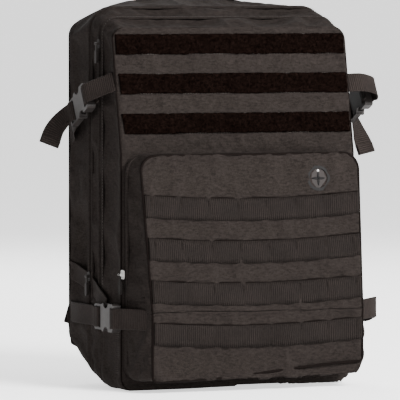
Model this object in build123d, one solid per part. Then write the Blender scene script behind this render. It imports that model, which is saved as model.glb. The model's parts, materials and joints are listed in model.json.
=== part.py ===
"""Trauma backpack: a soft pack on a flat base, with fold-down compartments and its hardware.

Frame: +X to the right of someone who faces the pack's front, -Y out of the front, +Z up, millimetres.
The origin is the middle of the bounding box's lowest face.
"""
import math
import os

from build123d import *

# ---- Driving dimensions ----
HALF_WIDTH = 156.0          # half the body's width
BACK_Y = 90.0               # outer face of the body's back wall
MAIN_ZIP_Y = BACK_Y - 64.0  # plane of the main compartment's zip
SECOND_ZIP_Y = MAIN_ZIP_Y - 30.0
FRONT_TOP_Y = SECOND_ZIP_Y - 31.0   # front panel at its top edge
FRONT_LOW_Y = FRONT_TOP_Y - 29.0    # front panel behind the pocket
POCKET_ZIP_Y = FRONT_LOW_Y - 5.0
FACE_TOP_Y = FRONT_LOW_Y - 32.0     # pocket face at its top edge
FACE_LOW_Y = FRONT_LOW_Y - 57.0     # pocket face at the fold and below
FRONT_TOP_Z = 446.0
POCKET_TOP_Z = 284.0
POCKET_LOW_Z = 15.0
FOLD_Z = 96.0               # pages above this height fold forward, the tub below it is fixed
WALL = 3.0                  # padded fabric wall
LINING = 1.6                # single fabric divider
GAP = 0.5                   # gap on each side of a parting plane
TOP_AT_FRONT = 436.0        # height of the body's top at FRONT_LOW_Y, MAIN_ZIP_Y and BACK_Y
TOP_AT_ZIP = 468.0
TOP_AT_BACK = 480.0
TOP_RADIUS = 36.0
BASE_RADIUS = 16.0
POCKET_RADIUS = 20.0
POCKET_HALF_REAR = 153.5
POCKET_HALF_FACE = 140.0

WEB = 25.0                  # strap webbing
WEB_THICK = 1.6
ROW_HEIGHT = 29.0           # ladder webbing on the pocket
ROW_THICK = 1.8
ROW_HALF = 137.0
ROW_Z = (219.0, 168.0, 117.5)
BASE_ROW_Z = 67.0
LOOP_HEIGHT = 23.5
LOOP_THICK = 1.8
LOOP_Z = (420.0, 372.5, 324.5)
LOOP_HALF = 150.0

ZIP_START_Z = 112.0
ZIP_THICK = 1.6
ZIP_HALF = 5.0
SLIDER_LENGTH = 11.0
SLIDER_WIDTH = 8.0
PULLER_LENGTH = 24.0
# zip name: plane, half width of the wall it lies on, slider heights on the -X and +X side
ZIPS = {
    "main": (MAIN_ZIP_Y, HALF_WIDTH, 134.0, 134.0),
    "second": (SECOND_ZIP_Y, HALF_WIDTH, 418.0, 418.0),
    "pocket": (POCKET_ZIP_Y, POCKET_HALF_REAR, 141.0, 141.0),
}

BUCKLE_WIDTH = 34.0
BUCKLE_THICK = 11.0
SOCKET_LENGTH = 34.0
PLUG_BASE = 24.0
PRONG_LENGTH = 18.0
PRONG_ROOT_RADIUS = 2.5
PRONG_ROOT_V = 8.6
UPPER_X = {"left": HALF_WIDTH + 20.0, "right": HALF_WIDTH + 44.0}    # the right strap hangs slack
UPPER_Y = 8.0               # middle of the plug's insertion
UPPER_Z = 345.0
LOWER_X = HALF_WIDTH + 7.3
LOWER_Y = -33.0
LOWER_Z = 88.0
INSERT_MIDDLE = 9.0         # from the socket's mouth to the middle of the inserted length
TAIL_TIP_X = 214.0          # loose ends of the upper straps
TAIL_DROP = 51.0
TAIL_BACK = 22.0

SIDES = {"left": -1, "right": 1}    # as seen from the front

os.makedirs("parts", exist_ok=True)


# ---- Helpers ----
def save(name, *solids):
    """Write one node, as a single solid or as a group of solids."""
    shape = solids[0] if len(solids) == 1 else Compound(children=list(solids))
    export_step(shape, f"parts/{name}.step")


def brick(x0, x1, y0, y1, z0, z1):
    middle = Pos((x0 + x1) / 2, (y0 + y1) / 2, (z0 + z1) / 2)
    return middle * Box(x1 - x0, y1 - y0, z1 - z0)


def slab(y0, y1, z0=-50.0, z1=600.0):
    """Everything between two depths and two heights, for cutting."""
    return brick(-400, 400, y0, y1, z0, z1)


def outline(y, half, z0, z1, low_radius, top_radius):
    """Rounded rectangle facing -Y."""
    frame = Plane(origin=(0, y, (z0 + z1) / 2), x_dir=(1, 0, 0), z_dir=(0, -1, 0))
    flat = Rectangle(2 * half, z1 - z0)
    corners = flat.vertices().group_by(Axis.Y)
    flat = fillet(corners[0], low_radius)
    flat = fillet(flat.vertices().group_by(Axis.Y)[-1], top_radius)
    return frame * flat


def in_front_of(points):
    """A prism across the whole width with this side profile, given as (y, z) points."""
    side = Plane(origin=(-400, 0, 0), x_dir=(0, 1, 0), z_dir=(1, 0, 0))
    return extrude(side * make_face(Polyline(*points, close=True)), 800)


def body(grow):
    """The body's closed outer form, or its offset."""
    faces = [
        outline(y, HALF_WIDTH + grow, -grow, top + grow, BASE_RADIUS + grow, TOP_RADIUS + grow)
        for y, top in (
            (FRONT_LOW_Y - grow, TOP_AT_FRONT),
            (MAIN_ZIP_Y, TOP_AT_ZIP),
            (BACK_Y + grow, TOP_AT_BACK),
        )
    ]
    lean = (FRONT_TOP_Y - FRONT_LOW_Y) / (FRONT_TOP_Z - POCKET_TOP_Z)
    front = FRONT_LOW_Y - grow
    wedge = in_front_of([
        (front, POCKET_TOP_Z),
        (front + lean * 250, POCKET_TOP_Z + 250),
        (front - 100, POCKET_TOP_Z + 250),
        (front - 100, POCKET_TOP_Z),
    ])
    return loft(faces, ruled=True) - wedge


def pocket(grow):
    """The front pocket's closed outer form, or its offset."""
    rear = outline(
        FRONT_LOW_Y, POCKET_HALF_REAR + grow, POCKET_LOW_Z - grow, POCKET_TOP_Z + grow,
        BASE_RADIUS + grow, POCKET_RADIUS + grow,
    )
    face = outline(
        FACE_LOW_Y - grow, POCKET_HALF_FACE + grow, POCKET_LOW_Z - grow, POCKET_TOP_Z + grow,
        BASE_RADIUS + grow, POCKET_RADIUS + grow,
    )
    lean = (FACE_TOP_Y - FACE_LOW_Y) / (POCKET_TOP_Z - FOLD_Z)
    front = FACE_LOW_Y - grow
    wedge = in_front_of([
        (front, FOLD_Z),
        (front + lean * 250, FOLD_Z + 250),
        (front - 100, FOLD_Z + 250),
        (front - 100, FOLD_Z),
    ])
    return loft([rear, face], ruled=True) - wedge


def face_plane(z, z_low, y_low, z_top, y_top):
    """Plane on a leaning face at height z: x across, y up the face, z outward."""
    share = (z - z_low) / (z_top - z_low)
    y = y_low + share * (y_top - y_low)
    return Plane(origin=(0, y, z), x_dir=(1, 0, 0), z_dir=(0, z_low - z_top, y_top - y_low))


def pocket_plane(z):
    return face_plane(z, FOLD_Z, FACE_LOW_Y, POCKET_TOP_Z, FACE_TOP_Y)


def panel_plane(z):
    return face_plane(z, POCKET_TOP_Z, FRONT_LOW_Y, FRONT_TOP_Z, FRONT_TOP_Y)


def on_face(plane, half, height, thick, lift=0.0):
    """A flat strip on a leaning face."""
    return plane * Pos(0, 0, lift + thick / 2) * Box(2 * half, height, thick)


def strap(start, end, across, width=WEB, thick=WEB_THICK):
    """A straight run of webbing between two points, its width along the direction across."""
    a = Vector(*start)
    b = Vector(*end)
    along = (b - a).normalized()
    normal = along.cross(Vector(*across)).normalized()
    frame = Plane(origin=(a + b) * 0.5, x_dir=along, z_dir=normal)
    return frame * Box((b - a).length, width, thick)


# ---- Body: fixed shell and tub ----
outer = body(0)
inner = body(-WALL)
rear_shell = outer & slab(MAIN_ZIP_Y + GAP, 200)
rear_shell -= inner & slab(MAIN_ZIP_Y - 10, BACK_Y - WALL)
save("rear_shell", rear_shell)

tub = outer & slab(-200, MAIN_ZIP_Y - GAP, -50, FOLD_Z - GAP)
tub -= inner & slab(-200, MAIN_ZIP_Y - GAP - LINING)
save("base_tub", tub)

pocket_outer = pocket(0)
pocket_inner = pocket(-WALL)
pocket_tub = pocket_outer & slab(-200, FRONT_LOW_Y - GAP / 2, -50, FOLD_Z - GAP)
pocket_tub -= pocket_inner & slab(-200, FRONT_LOW_Y)
save("pocket_tub", pocket_tub)

row_y = FACE_LOW_Y - ROW_THICK
save("base_webbing", brick(
    -ROW_HALF, ROW_HALF, row_y, FACE_LOW_Y, BASE_ROW_Z - ROW_HEIGHT / 2, BASE_ROW_Z + ROW_HEIGHT / 2
))

# ---- Inside the main compartment ----
SHEET_HALF = 128.0
sheet_y = BACK_Y - WALL - 2.6
save("frame_sheet", brick(-SHEET_HALF, SHEET_HALF, sheet_y, sheet_y + 2.2, 60, 430))
SLEEVE_HALF = 110.0
sleeve_y = sheet_y - 3.4
save("hydration_sleeve", brick(-SLEEVE_HALF, SLEEVE_HALF, sleeve_y, sleeve_y + 3, 60, 360))

# ---- Back pads ----
PAD_THICK = 11.0
PAD_HALF = 46.0
pads = []
for side in SIDES.values():
    for low, high in ((58, 150), (165, 285), (300, 395)):
        x0 = side * 72 - PAD_HALF
        pad = brick(x0, x0 + 2 * PAD_HALF, BACK_Y + 0.4, BACK_Y + 0.4 + PAD_THICK, low, high)
        pads.append(fillet(pad.edges().filter_by(Axis.Y), 14))
save("back_pads", *pads)

# ---- Pages that fold forward ----
page = outer & slab(-200, 200, FOLD_Z + GAP)
mid_gusset = page & slab(SECOND_ZIP_Y + GAP, MAIN_ZIP_Y - GAP)
mid_gusset -= inner & slab(-200, MAIN_ZIP_Y - GAP - LINING)
save("mid_gusset", mid_gusset)
front_shell = page & slab(-200, SECOND_ZIP_Y - GAP)
front_shell -= inner & slab(-200, SECOND_ZIP_Y)
save("front_shell", front_shell)

MESH_HALF = 135.0
mesh_y = MAIN_ZIP_Y - GAP - LINING - 2.2
save("mesh_pocket", brick(-MESH_HALF, MESH_HALF, mesh_y, mesh_y + 1.6, 125, 265))
ORGANISER_HALF = 138.0
organiser_y = FRONT_LOW_Y + WALL + 0.4
save("organiser_panel", brick(
    -ORGANISER_HALF, ORGANISER_HALF, organiser_y, organiser_y + 3, 115, 275
))

panel_height = (FRONT_TOP_Z - POCKET_TOP_Z) - 24
admin_panel = on_face(panel_plane((FRONT_TOP_Z + POCKET_TOP_Z) / 2 + 2), 150, panel_height, 2.0)
save("admin_panel", admin_panel)
save("loop_strips", *[
    on_face(panel_plane(z), LOOP_HALF - 1, LOOP_HEIGHT, LOOP_THICK, 2.0) for z in LOOP_Z
])

# ---- Pocket door with its cable port ----
PORT_X = 90.0
PORT_Z = 254.0
PORT_RING_RADIUS = 15.5
PORT_DISC_RADIUS = 11.8
door = pocket_outer & slab(-200, POCKET_ZIP_Y - GAP, FOLD_Z + GAP)
door -= pocket_inner & slab(-200, POCKET_ZIP_Y)
port = pocket_plane(PORT_Z) * Pos(PORT_X, 0, 0)
door -= port * Pos(0, 0, -5) * Cylinder(PORT_DISC_RADIUS + 0.3, 20)
save("pocket_door", door)
ring = Cylinder(PORT_RING_RADIUS, 2.4) - Cylinder(PORT_DISC_RADIUS + 0.3, 4)
save("cable_port_ring", port * Pos(0, 0, 1.2) * ring)
disc = Cylinder(PORT_DISC_RADIUS, 2.0) - Box(14, 1.0, 4) - Box(1.0, 14, 4)
save("cable_port_disc", port * Pos(0, 0, 0.2) * disc)
save("door_webbing", *[
    on_face(pocket_plane(z), ROW_HALF, ROW_HEIGHT, ROW_THICK) for z in ROW_Z
])


# ---- Zips: one half of the coil on each side of its plane ----
def coil(form, y0, y1):
    grown, plain = form(ZIP_THICK), form(0)
    return (grown - plain) & slab(y0, y1, ZIP_START_Z)


save("main_zip_rear", coil(body, MAIN_ZIP_Y + GAP, MAIN_ZIP_Y + ZIP_HALF))
save("main_zip_front", coil(body, MAIN_ZIP_Y - ZIP_HALF, MAIN_ZIP_Y - GAP))
save("second_zip_rear", coil(body, SECOND_ZIP_Y + GAP, SECOND_ZIP_Y + ZIP_HALF))
save("second_zip_front", coil(body, SECOND_ZIP_Y - ZIP_HALF, SECOND_ZIP_Y - GAP))
pocket_rim = (pocket_outer - pocket(-2.5)) & slab(
    POCKET_ZIP_Y + GAP, FRONT_LOW_Y - GAP / 2, FOLD_Z + GAP
)
save("pocket_zip_rear", pocket_rim)
save("pocket_zip_front", coil(pocket, POCKET_ZIP_Y - ZIP_HALF, POCKET_ZIP_Y - GAP))

SLIDER_LIFT = 2.0           # height of the slider's underside above the wall
PIN_RADIUS = 0.8
PIN_CLEARANCE = 0.06
PLATE = 1.6
PIN_LIFT = 2.4              # pin's axis above the plate


def slider():
    """Local frame: x up the zip, y across it, z out of the wall."""
    plate = Pos(0, 0, SLIDER_LIFT + PLATE / 2) * Box(SLIDER_LENGTH, SLIDER_WIDTH, PLATE)
    plate = fillet(plate.edges().filter_by(Axis.Z), 2.5)
    pin_z = SLIDER_LIFT + PLATE + PIN_LIFT
    for side in (-1, 1):
        ear = Pos(0, side * 2.9, pin_z - PIN_LIFT / 2) * Box(3.4, 1.2, PIN_LIFT + 0.2)
        cap = Pos(0, side * 2.9, pin_z) * Rot(90, 0, 0) * Cylinder(1.7, 1.2)
        plate = plate + ear + cap
    return plate + Pos(0, 0, pin_z) * Rot(90, 0, 0) * Cylinder(PIN_RADIUS, 5.8)


def puller():
    """Hangs down the wall from the slider's pin."""
    pin_z = SLIDER_LIFT + PLATE + PIN_LIFT
    eye = Pos(0, 0, pin_z) * Rot(90, 0, 0) * Cylinder(1.9, 4.0)
    neck = Pos(-6, 0, pin_z) * Box(12, 3.2, 1.6)
    grip = Pos(-(PULLER_LENGTH + 8) / 2, 0, pin_z) * Box(PULLER_LENGTH - 8, 5.6, 3.0)
    grip = fillet(grip.edges().filter_by(Axis.Z), 2.2)
    bore = Pos(0, 0, pin_z) * Rot(90, 0, 0) * Cylinder(PIN_RADIUS + PIN_CLEARANCE, 8)
    return eye + neck + grip - bore


for zip_name, (zip_y, half, left_z, right_z) in ZIPS.items():
    for side_name, z in (("left", left_z), ("right", right_z)):
        side = SIDES[side_name]
        wall = Plane(origin=(side * half, zip_y, z), x_dir=(0, 0, 1), z_dir=(side, 0, 0))
        save(f"{zip_name}_slider_{side_name}", wall * slider())
        save(f"{zip_name}_puller_{side_name}", wall * puller())


# ---- Side-release buckles ----
def socket():
    """Local frame: x from the mouth towards the socket's bar, y across, z outward."""
    block = Pos(SOCKET_LENGTH / 2, 0, 0) * Box(SOCKET_LENGTH, BUCKLE_WIDTH, BUCKLE_THICK)
    block = fillet(block.edges().filter_by(Axis.Z), 4)
    channel = Pos(10.5, 0, 0) * Box(25, 27, 6.4)
    for side in (-1, 1):
        block -= Pos(13, side * (BUCKLE_WIDTH / 2 + 1.5), 0) * Cylinder(7.2, 20)
    block -= channel
    block -= Pos(28, 0, 0) * Box(4.6, WEB + 1, 20)
    return block


def plug_base():
    base = Pos(-PLUG_BASE / 2, 0, 0) * Box(PLUG_BASE - 0.8, 31, 8)
    base = fillet(base.edges().filter_by(Axis.Z), 3)
    for x in (-8.5, -17.5):
        base -= Pos(x, 0, 0) * Box(4.4, WEB + 1, 20)
    base += Pos(PRONG_LENGTH / 2 - 1, 0, 0) * Box(PRONG_LENGTH, 4, 3.4)
    for side in (-1, 1):
        base -= Pos(0, side * PRONG_ROOT_V, 0) * Cylinder(PRONG_ROOT_RADIUS + 0.1, 20)
    return base


def prong(side):
    """One spring arm, which turns inward about its round root."""
    root = Pos(0, PRONG_ROOT_V, 0) * Cylinder(PRONG_ROOT_RADIUS, 4.4)
    arm = Polyline(
        (0, PRONG_ROOT_V - 2.2), (PRONG_LENGTH, 6.6), (PRONG_LENGTH, 9.4), (14.6, 12.7),
        (9.4, 12.7), (6.4, 10.6), (0, PRONG_ROOT_V + 2.2), close=True,
    )
    shape = root + Pos(0, 0, -2.2) * extrude(make_face(arm), 4.4)
    return shape if side > 0 else mirror(shape, Plane.XZ)


def buckle_frame(name, level):
    """Origin at the socket's mouth, x towards the socket's bar."""
    side = SIDES[name]
    if level == "lower":
        return Plane(origin=(side * LOWER_X, LOWER_Y, LOWER_Z), x_dir=(0, -1, 0), z_dir=(side, 0, 0))
    dy, dz = UPPER_Y - FACE_LOW_Y, UPPER_Z - FOLD_Z
    reach = math.hypot(dy, dz)
    along = Vector(0, -dz / reach, dy / reach)
    mouth = Vector(side * UPPER_X[name], UPPER_Y, UPPER_Z) - along * INSERT_MIDDLE
    return Plane(origin=mouth, x_dir=along, z_dir=(side, 0, 0))


frames = {(level, name): buckle_frame(name, level)
          for level in ("upper", "lower") for name in SIDES}
for level in ("upper", "lower"):
    save(f"{level}_sockets", *[frames[level, name] * socket() for name in SIDES])
    for name in SIDES:
        save(f"{level}_plug_{name}", frames[level, name] * plug_base())
        for number, side in (("a", 1), ("b", -1)):
            save(f"{level}_prong_{name}_{number}", frames[level, name] * prong(side))


# ---- Strap webbing on the sides ----
def local(frame, x, y=0.0, z=0.0):
    return frame.from_local_coords(Vector(x, y, z))


SEWN_GAP = 0.5              # between a run's end and the buckle it is threaded through
front_runs = {"upper": [], "lower": []}
rear_runs = []
for name, side in SIDES.items():
    for level in ("upper", "lower"):
        frame = frames[level, name]
        across = frame.y_dir
        bar = local(frame, SOCKET_LENGTH + SEWN_GAP)
        if level == "upper":
            reach = UPPER_X[name] - HALF_WIDTH
            seam = local(frame, SOCKET_LENGTH + 40, 0, 2.6 - reach)
            rear_end = local(frame, -PLUG_BASE - 48, 0, 1.4 - reach)
        else:
            seam = Vector(side * (POCKET_HALF_FACE + 3.6), FACE_LOW_Y + 8, LOWER_Z)
            rear_end = Vector(side * (HALF_WIDTH + 1.4), BACK_Y - 6, LOWER_Z)
        front_runs[level].append(strap(seam, bar, across))
        rear_runs.append(strap(local(frame, -PLUG_BASE - SEWN_GAP), rear_end, across))
    tail_start = local(frames["upper", name], -13, 0, 6.6)
    tail_end = Vector(side * TAIL_TIP_X, tail_start.Y + TAIL_BACK, tail_start.Z - TAIL_DROP)
    rear_runs.append(strap(tail_start, tail_end, (0, TAIL_DROP, TAIL_BACK)))
save("upper_front_webbing", *front_runs["upper"])
save("lower_front_webbing", *front_runs["lower"])
save("compression_webbing", *rear_runs)

# ---- Carry handle ----
HANDLE_Z = 474.0
HANDLE_HALF = 66.0
handle_y = BACK_Y + 0.6
handle = brick(-HANDLE_HALF, HANDLE_HALF, handle_y, handle_y + 5, HANDLE_Z - 36, HANDLE_Z)
handle -= brick(-HANDLE_HALF + 22, HANDLE_HALF - 22, 0, 200, HANDLE_Z - 18, HANDLE_Z + 5)
save("carry_handle", handle)

# ---- Shoulder straps ----
STRAP_Y = BACK_Y + 0.4 + PAD_THICK + 3.4
STRAP_THICK = 18.0
STRAP_WIDTH = 62.0
STRAP_TOP_Z = 426.0
ADJUSTER_Z = 186.0
for name, side in SIDES.items():
    middle = [(58, STRAP_TOP_Z), (64, 365), (82, 295), (100, 235), (104, 200)]
    half = STRAP_WIDTH / 2
    edge_in = Spline(*[(side * (x - half), z) for x, z in middle])
    edge_out = Spline(*[(side * (x + half), z) for x, z in middle])
    top = Line(edge_in @ 0, edge_out @ 0)
    low = Line(edge_in @ 1, edge_out @ 1)
    plan = make_face([edge_in, low, edge_out, top])
    back = Plane(origin=(0, STRAP_Y + STRAP_THICK, 0), x_dir=(1, 0, 0), z_dir=(0, -1, 0))
    pad = extrude(back * plan, STRAP_THICK)
    root_x = side * middle[0][0]
    root = brick(root_x - 26, root_x + 26, BACK_Y + 0.5, STRAP_Y + 1, STRAP_TOP_Z - 18, STRAP_TOP_Z)
    save(f"shoulder_strap_{name}", pad + root)
    lock = Pos(side * 104, STRAP_Y + STRAP_THICK / 2, ADJUSTER_Z) * Box(33, 8, 26)
    for z in (-5.5, 5.5):
        lock -= Pos(side * 104, STRAP_Y + STRAP_THICK / 2, ADJUSTER_Z + z) * Box(26, 20, 5)
    save(f"strap_adjuster_{name}", lock)

wings = []
runs = []
for side in SIDES.values():
    triangle = make_face(Polyline(
        (side * 126, 30), (side * 154, 46), (side * 160, 88), (side * 146, 97), close=True
    ))
    back = Plane(origin=(0, BACK_Y + 3.4, 0), x_dir=(1, 0, 0), z_dir=(0, -1, 0))
    wings.append(extrude(back * triangle, 3.0))
    start = (side * 108, STRAP_Y + STRAP_THICK / 2, ADJUSTER_Z - 20)
    runs.append(strap(start, (side * 150, BACK_Y + 7.5, 70), (1, 0, side * 0.35)))
save("strap_wings", *wings)
save("adjuster_webbing", *runs)
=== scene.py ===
"""Looks of the trauma backpack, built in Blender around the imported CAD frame. Metres, CAD frame."""

import json
import math
import random

import bpy
import numpy as np
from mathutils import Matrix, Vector, noise
from mathutils.bvhtree import BVHTree


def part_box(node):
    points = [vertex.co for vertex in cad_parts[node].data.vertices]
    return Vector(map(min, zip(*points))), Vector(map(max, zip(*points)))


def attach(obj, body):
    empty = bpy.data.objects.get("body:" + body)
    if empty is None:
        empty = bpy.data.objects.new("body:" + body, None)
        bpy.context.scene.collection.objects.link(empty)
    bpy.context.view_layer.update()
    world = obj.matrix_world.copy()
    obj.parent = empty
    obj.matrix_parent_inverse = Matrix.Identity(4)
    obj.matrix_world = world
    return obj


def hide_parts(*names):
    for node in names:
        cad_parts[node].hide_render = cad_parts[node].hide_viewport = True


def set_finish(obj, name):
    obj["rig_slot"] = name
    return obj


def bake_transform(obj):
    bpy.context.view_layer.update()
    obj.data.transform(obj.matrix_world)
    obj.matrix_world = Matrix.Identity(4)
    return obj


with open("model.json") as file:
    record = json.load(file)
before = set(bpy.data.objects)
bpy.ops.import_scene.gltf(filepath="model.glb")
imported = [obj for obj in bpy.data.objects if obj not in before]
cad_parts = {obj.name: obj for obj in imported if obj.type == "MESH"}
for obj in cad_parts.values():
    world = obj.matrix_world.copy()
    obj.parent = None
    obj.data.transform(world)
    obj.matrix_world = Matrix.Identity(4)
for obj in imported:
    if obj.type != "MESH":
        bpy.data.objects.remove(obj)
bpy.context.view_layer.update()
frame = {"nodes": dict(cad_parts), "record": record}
rng = random.Random(7)

# ---- Places, read from the frame ----
rear_low, rear_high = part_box("rear_shell")
pocket_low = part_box("pocket_tub")[0]
door_low, door_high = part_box("pocket_door")
GAP = 0.0005
HALF = rear_high.x
BACK = rear_high.y
MAIN_Y = rear_low.y - GAP
SECOND_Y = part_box("mid_gusset")[0].y - GAP
FRONT_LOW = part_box("base_tub")[0].y
FACE_LOW = pocket_low.y
POCKET_Y = door_high.y + GAP
FOLD = door_low.z - GAP
POCKET_BASE = pocket_low.z
POCKET_TOP = door_high.z
FACE_HALF = 0.140
MOUTH_HALF = 0.1535         # the pocket's half width where it meets the front panel
# Height of the outline's top, its corner radius and the rise of its crown, from front to back.
DEPTHS = (-0.036, SECOND_Y, MAIN_Y, BACK)
TOPS = (0.4365, 0.4490, 0.4615, 0.4440)
CORNERS = (0.014, 0.019, 0.030, 0.018)
RISES = (0.0, 0.0, 0.0, 0.030)
PANEL_LEAN = 29 / 162       # backward lean of the front panel above the pocket
FACE_LEAN = 25 / 188        # and of the pocket's face above the fold
BASE_CORNER = 0.016
POCKET_CORNER = 0.020
POCKET_FOOT = 0.005         # radius of the pocket face's lower corners
WEB = 0.025
GROOVE = 0.0024             # how far the shells tuck in at each zip
SIDES = {"left": -1, "right": 1}


def top_at(y):
    return float(np.interp(y, DEPTHS, TOPS))


def low_at(y):
    """The base rises towards the back."""
    return float(np.interp(y, (-0.03, 0.0, 0.03, BACK), (0.0, 0.003, 0.014, 0.046)))


def slump(x, z):
    """The lower edge is higher on the right, where the pack is slack."""
    share = min(1.0, max(0.0, (x + 0.10) / 0.25))
    return 0.016 * share * share * (3 - 2 * share) * min(1.0, max(0.0, (0.062 - z) / 0.045))


def rise_at(y, share):
    """How far the crown stands above its corners, share being -1 to 1 across the top."""
    return float(np.interp(y, DEPTHS, RISES)) * (1 - abs(share) ** 2.5)


def panel_y(z):
    return FRONT_LOW + max(0.0, z - POCKET_TOP) * PANEL_LEAN


def face_y(z):
    return FACE_LOW + max(0.0, z - FOLD) * FACE_LEAN


# ---- Materials ----
def new_material(name, colour, roughness=0.9, sheen=0.0, specular=0.03):
    material = bpy.data.materials.new(name)
    material.use_nodes = True
    shader = material.node_tree.nodes["Principled BSDF"]
    for key, value in (("Base Color", (*colour, 1)), ("Roughness", roughness), ("Sheen Weight", sheen),
                       ("Sheen Roughness", 0.5), ("Specular IOR Level", specular)):
        shader.inputs[key].default_value = value
    return material, material.node_tree, shader


def texture(tree, kind, scale, uv=False, stretch=None, output="Fac", **values):
    """The output of a procedural texture on object coordinates, or on UVs."""
    source = tree.nodes.new("ShaderNodeTexCoord").outputs["UV" if uv else "Object"]
    node = tree.nodes.new(f"ShaderNodeTex{kind}")
    if stretch:
        mapping = tree.nodes.new("ShaderNodeMapping")
        mapping.inputs["Scale"].default_value = stretch
        tree.links.new(source, mapping.inputs["Vector"])
        source = mapping.outputs["Vector"]
    tree.links.new(source, node.inputs["Vector"])
    node.inputs["Scale"].default_value = scale
    for key, value in values.items():
        if key in node.inputs:
            node.inputs[key].default_value = value
        else:
            setattr(node, key, value)
    return node.outputs[output]


def ranged(tree, value, **ends):
    """Maps a value from one range to another; the ends not given are 0 and 1."""
    node = tree.nodes.new("ShaderNodeMapRange")
    for key, end in ends.items():
        node.inputs[key.replace("_", " ")].default_value = end
    tree.links.new(value, node.inputs["Value"])
    return node.outputs["Result"]


def tint(tree, shader, factor, base, dark, light):
    """Varies the base colour between a darker and a lighter shade of it."""
    mix = tree.nodes.new("ShaderNodeMix")
    mix.data_type = "RGBA"
    mix.inputs["A"].default_value = (*(c * dark for c in base), 1)
    mix.inputs["B"].default_value = (*(c * light for c in base), 1)
    tree.links.new(factor, mix.inputs["Factor"])
    tree.links.new(mix.outputs["Result"], shader.inputs["Base Color"])
    return mix


def bump(tree, shader, *heights):
    """Chains (output, strength, distance) bumps onto the shader's normal."""
    normal = None
    for height, strength, distance in heights:
        node = tree.nodes.new("ShaderNodeBump")
        node.inputs["Strength"].default_value = strength
        node.inputs["Distance"].default_value = distance
        tree.links.new(height, node.inputs["Height"])
        if normal:
            tree.links.new(normal, node.inputs["Normal"])
        normal = node.outputs["Normal"]
    tree.links.new(normal, shader.inputs["Normal"])


def combine(tree, a, b, operation="ADD"):
    node = tree.nodes.new("ShaderNodeMath")
    node.operation = operation
    tree.links.new(a, node.inputs[0])
    tree.links.new(b, node.inputs[1])
    return node.outputs[0]


def fabric_material(name, base, weave=1400, speckle=0.45, sheen=0.0, roughness=0.9, crease=0.6):
    """Plain-woven polyester: crossed threads, long slubs, a dusty grain and soft creases."""
    material, tree, shader = new_material(name, base, roughness, sheen)
    warp, weft, fill = (texture(tree, "Wave", weave / 6.3, bands_direction=axis, Distortion=0.6)
                        for axis in "XZY")
    threads = combine(tree, combine(tree, warp, weft), fill)
    slubs = texture(tree, "Noise", 420, stretch=(0.4, 0.4, 1.2), Detail=3.0, Roughness=0.7)
    grain = texture(tree, "Noise", 620, Detail=3.0, Roughness=0.8)
    folds = texture(tree, "Noise", 42, Detail=4.0, Roughness=0.55, Distortion=0.9)
    dust = ranged(tree, combine(tree, slubs, grain), From_Min=0.78, From_Max=1.22)
    tint(tree, shader, dust, base, 1 - speckle, 1 + speckle)
    bump(tree, shader, (folds, crease, 0.0035), (slubs, 0.3, 0.0006), (grain, 0.35, 0.0006),
         (threads, 0.25, 0.0003))
    return material


def webbing_material(name, base):
    """Flat nylon webbing: crosswise ribs in uneven patches, on UVs in metres."""
    material, tree, shader = new_material(name, base, 0.8, 0.0, 0.05)
    beat = texture(tree, "Wave", 122, uv=True, bands_direction="X", Distortion=1.2,
                   **{"Detail": 2.0, "Detail Scale": 2.0})
    yarn = texture(tree, "Wave", 330, uv=True, bands_direction="Y", Distortion=0.4)
    patches = texture(tree, "Noise", 34, Detail=2.0)
    dust = texture(tree, "Noise", 320, Detail=4.0, Roughness=0.75)
    pattern = combine(tree, beat, patches, "MULTIPLY")
    shade = ranged(tree, combine(tree, pattern, dust), From_Min=0.45, From_Max=1.05)
    tint(tree, shader, shade, base, 0.5, 1.6)
    bump(tree, shader, (pattern, 0.7, 0.0011), (yarn, 0.2, 0.0002), (dust, 0.3, 0.0005))
    return material


def pile_material(name, base):
    """Hook-and-loop pile: a napped, broken surface with light fibre ends."""
    material, tree, shader = new_material(name, base, 0.98, 0.0, 0.0)
    fuzz = texture(tree, "Noise", 900, Detail=4.0, Roughness=0.8)
    clumps = texture(tree, "Noise", 330, Detail=3.0, Roughness=0.7, Distortion=1.2)
    nap = ranged(tree, combine(tree, fuzz, clumps, "MULTIPLY"), From_Min=0.2, From_Max=0.42)
    tint(tree, shader, nap, base, 1, 9)
    bump(tree, shader, (clumps, 0.9, 0.0012), (fuzz, 0.8, 0.0006))
    return material


def plastic_material(name, base, roughness=0.42, wear=0.35, specular=0.3):
    """Moulded plastic with a fine spark texture and rubbed, lighter patches."""
    material, tree, shader = new_material(name, base, roughness, 0.0, specular)
    rub = texture(tree, "Noise", 60, Detail=5.0, Roughness=0.6)
    fine = texture(tree, "Noise", 900, Detail=2.0)
    mix = tint(tree, shader, rub, base, 1, 1)
    mix.inputs["B"].default_value = (*(c * (1 + wear) + 0.004 for c in base), 1)
    matt = ranged(tree, rub, To_Min=roughness - 0.12, To_Max=roughness + 0.16)
    tree.links.new(matt, shader.inputs["Roughness"])
    bump(tree, shader, (fine, 0.25, 0.0002))
    return material


def mesh_material(name, base):
    """Open spacer knit: a regular field of small dark holes."""
    material, tree, shader = new_material(name, base, 0.85, 0.05)
    cells = texture(tree, "Voronoi", 380, output="Distance", Randomness=0.15)
    holes = ranged(tree, cells, From_Min=0.25, From_Max=0.55)
    tint(tree, shader, holes, base, 0.25, 1.6)
    bump(tree, shader, (holes, 0.7, 0.0008))
    return material


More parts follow.
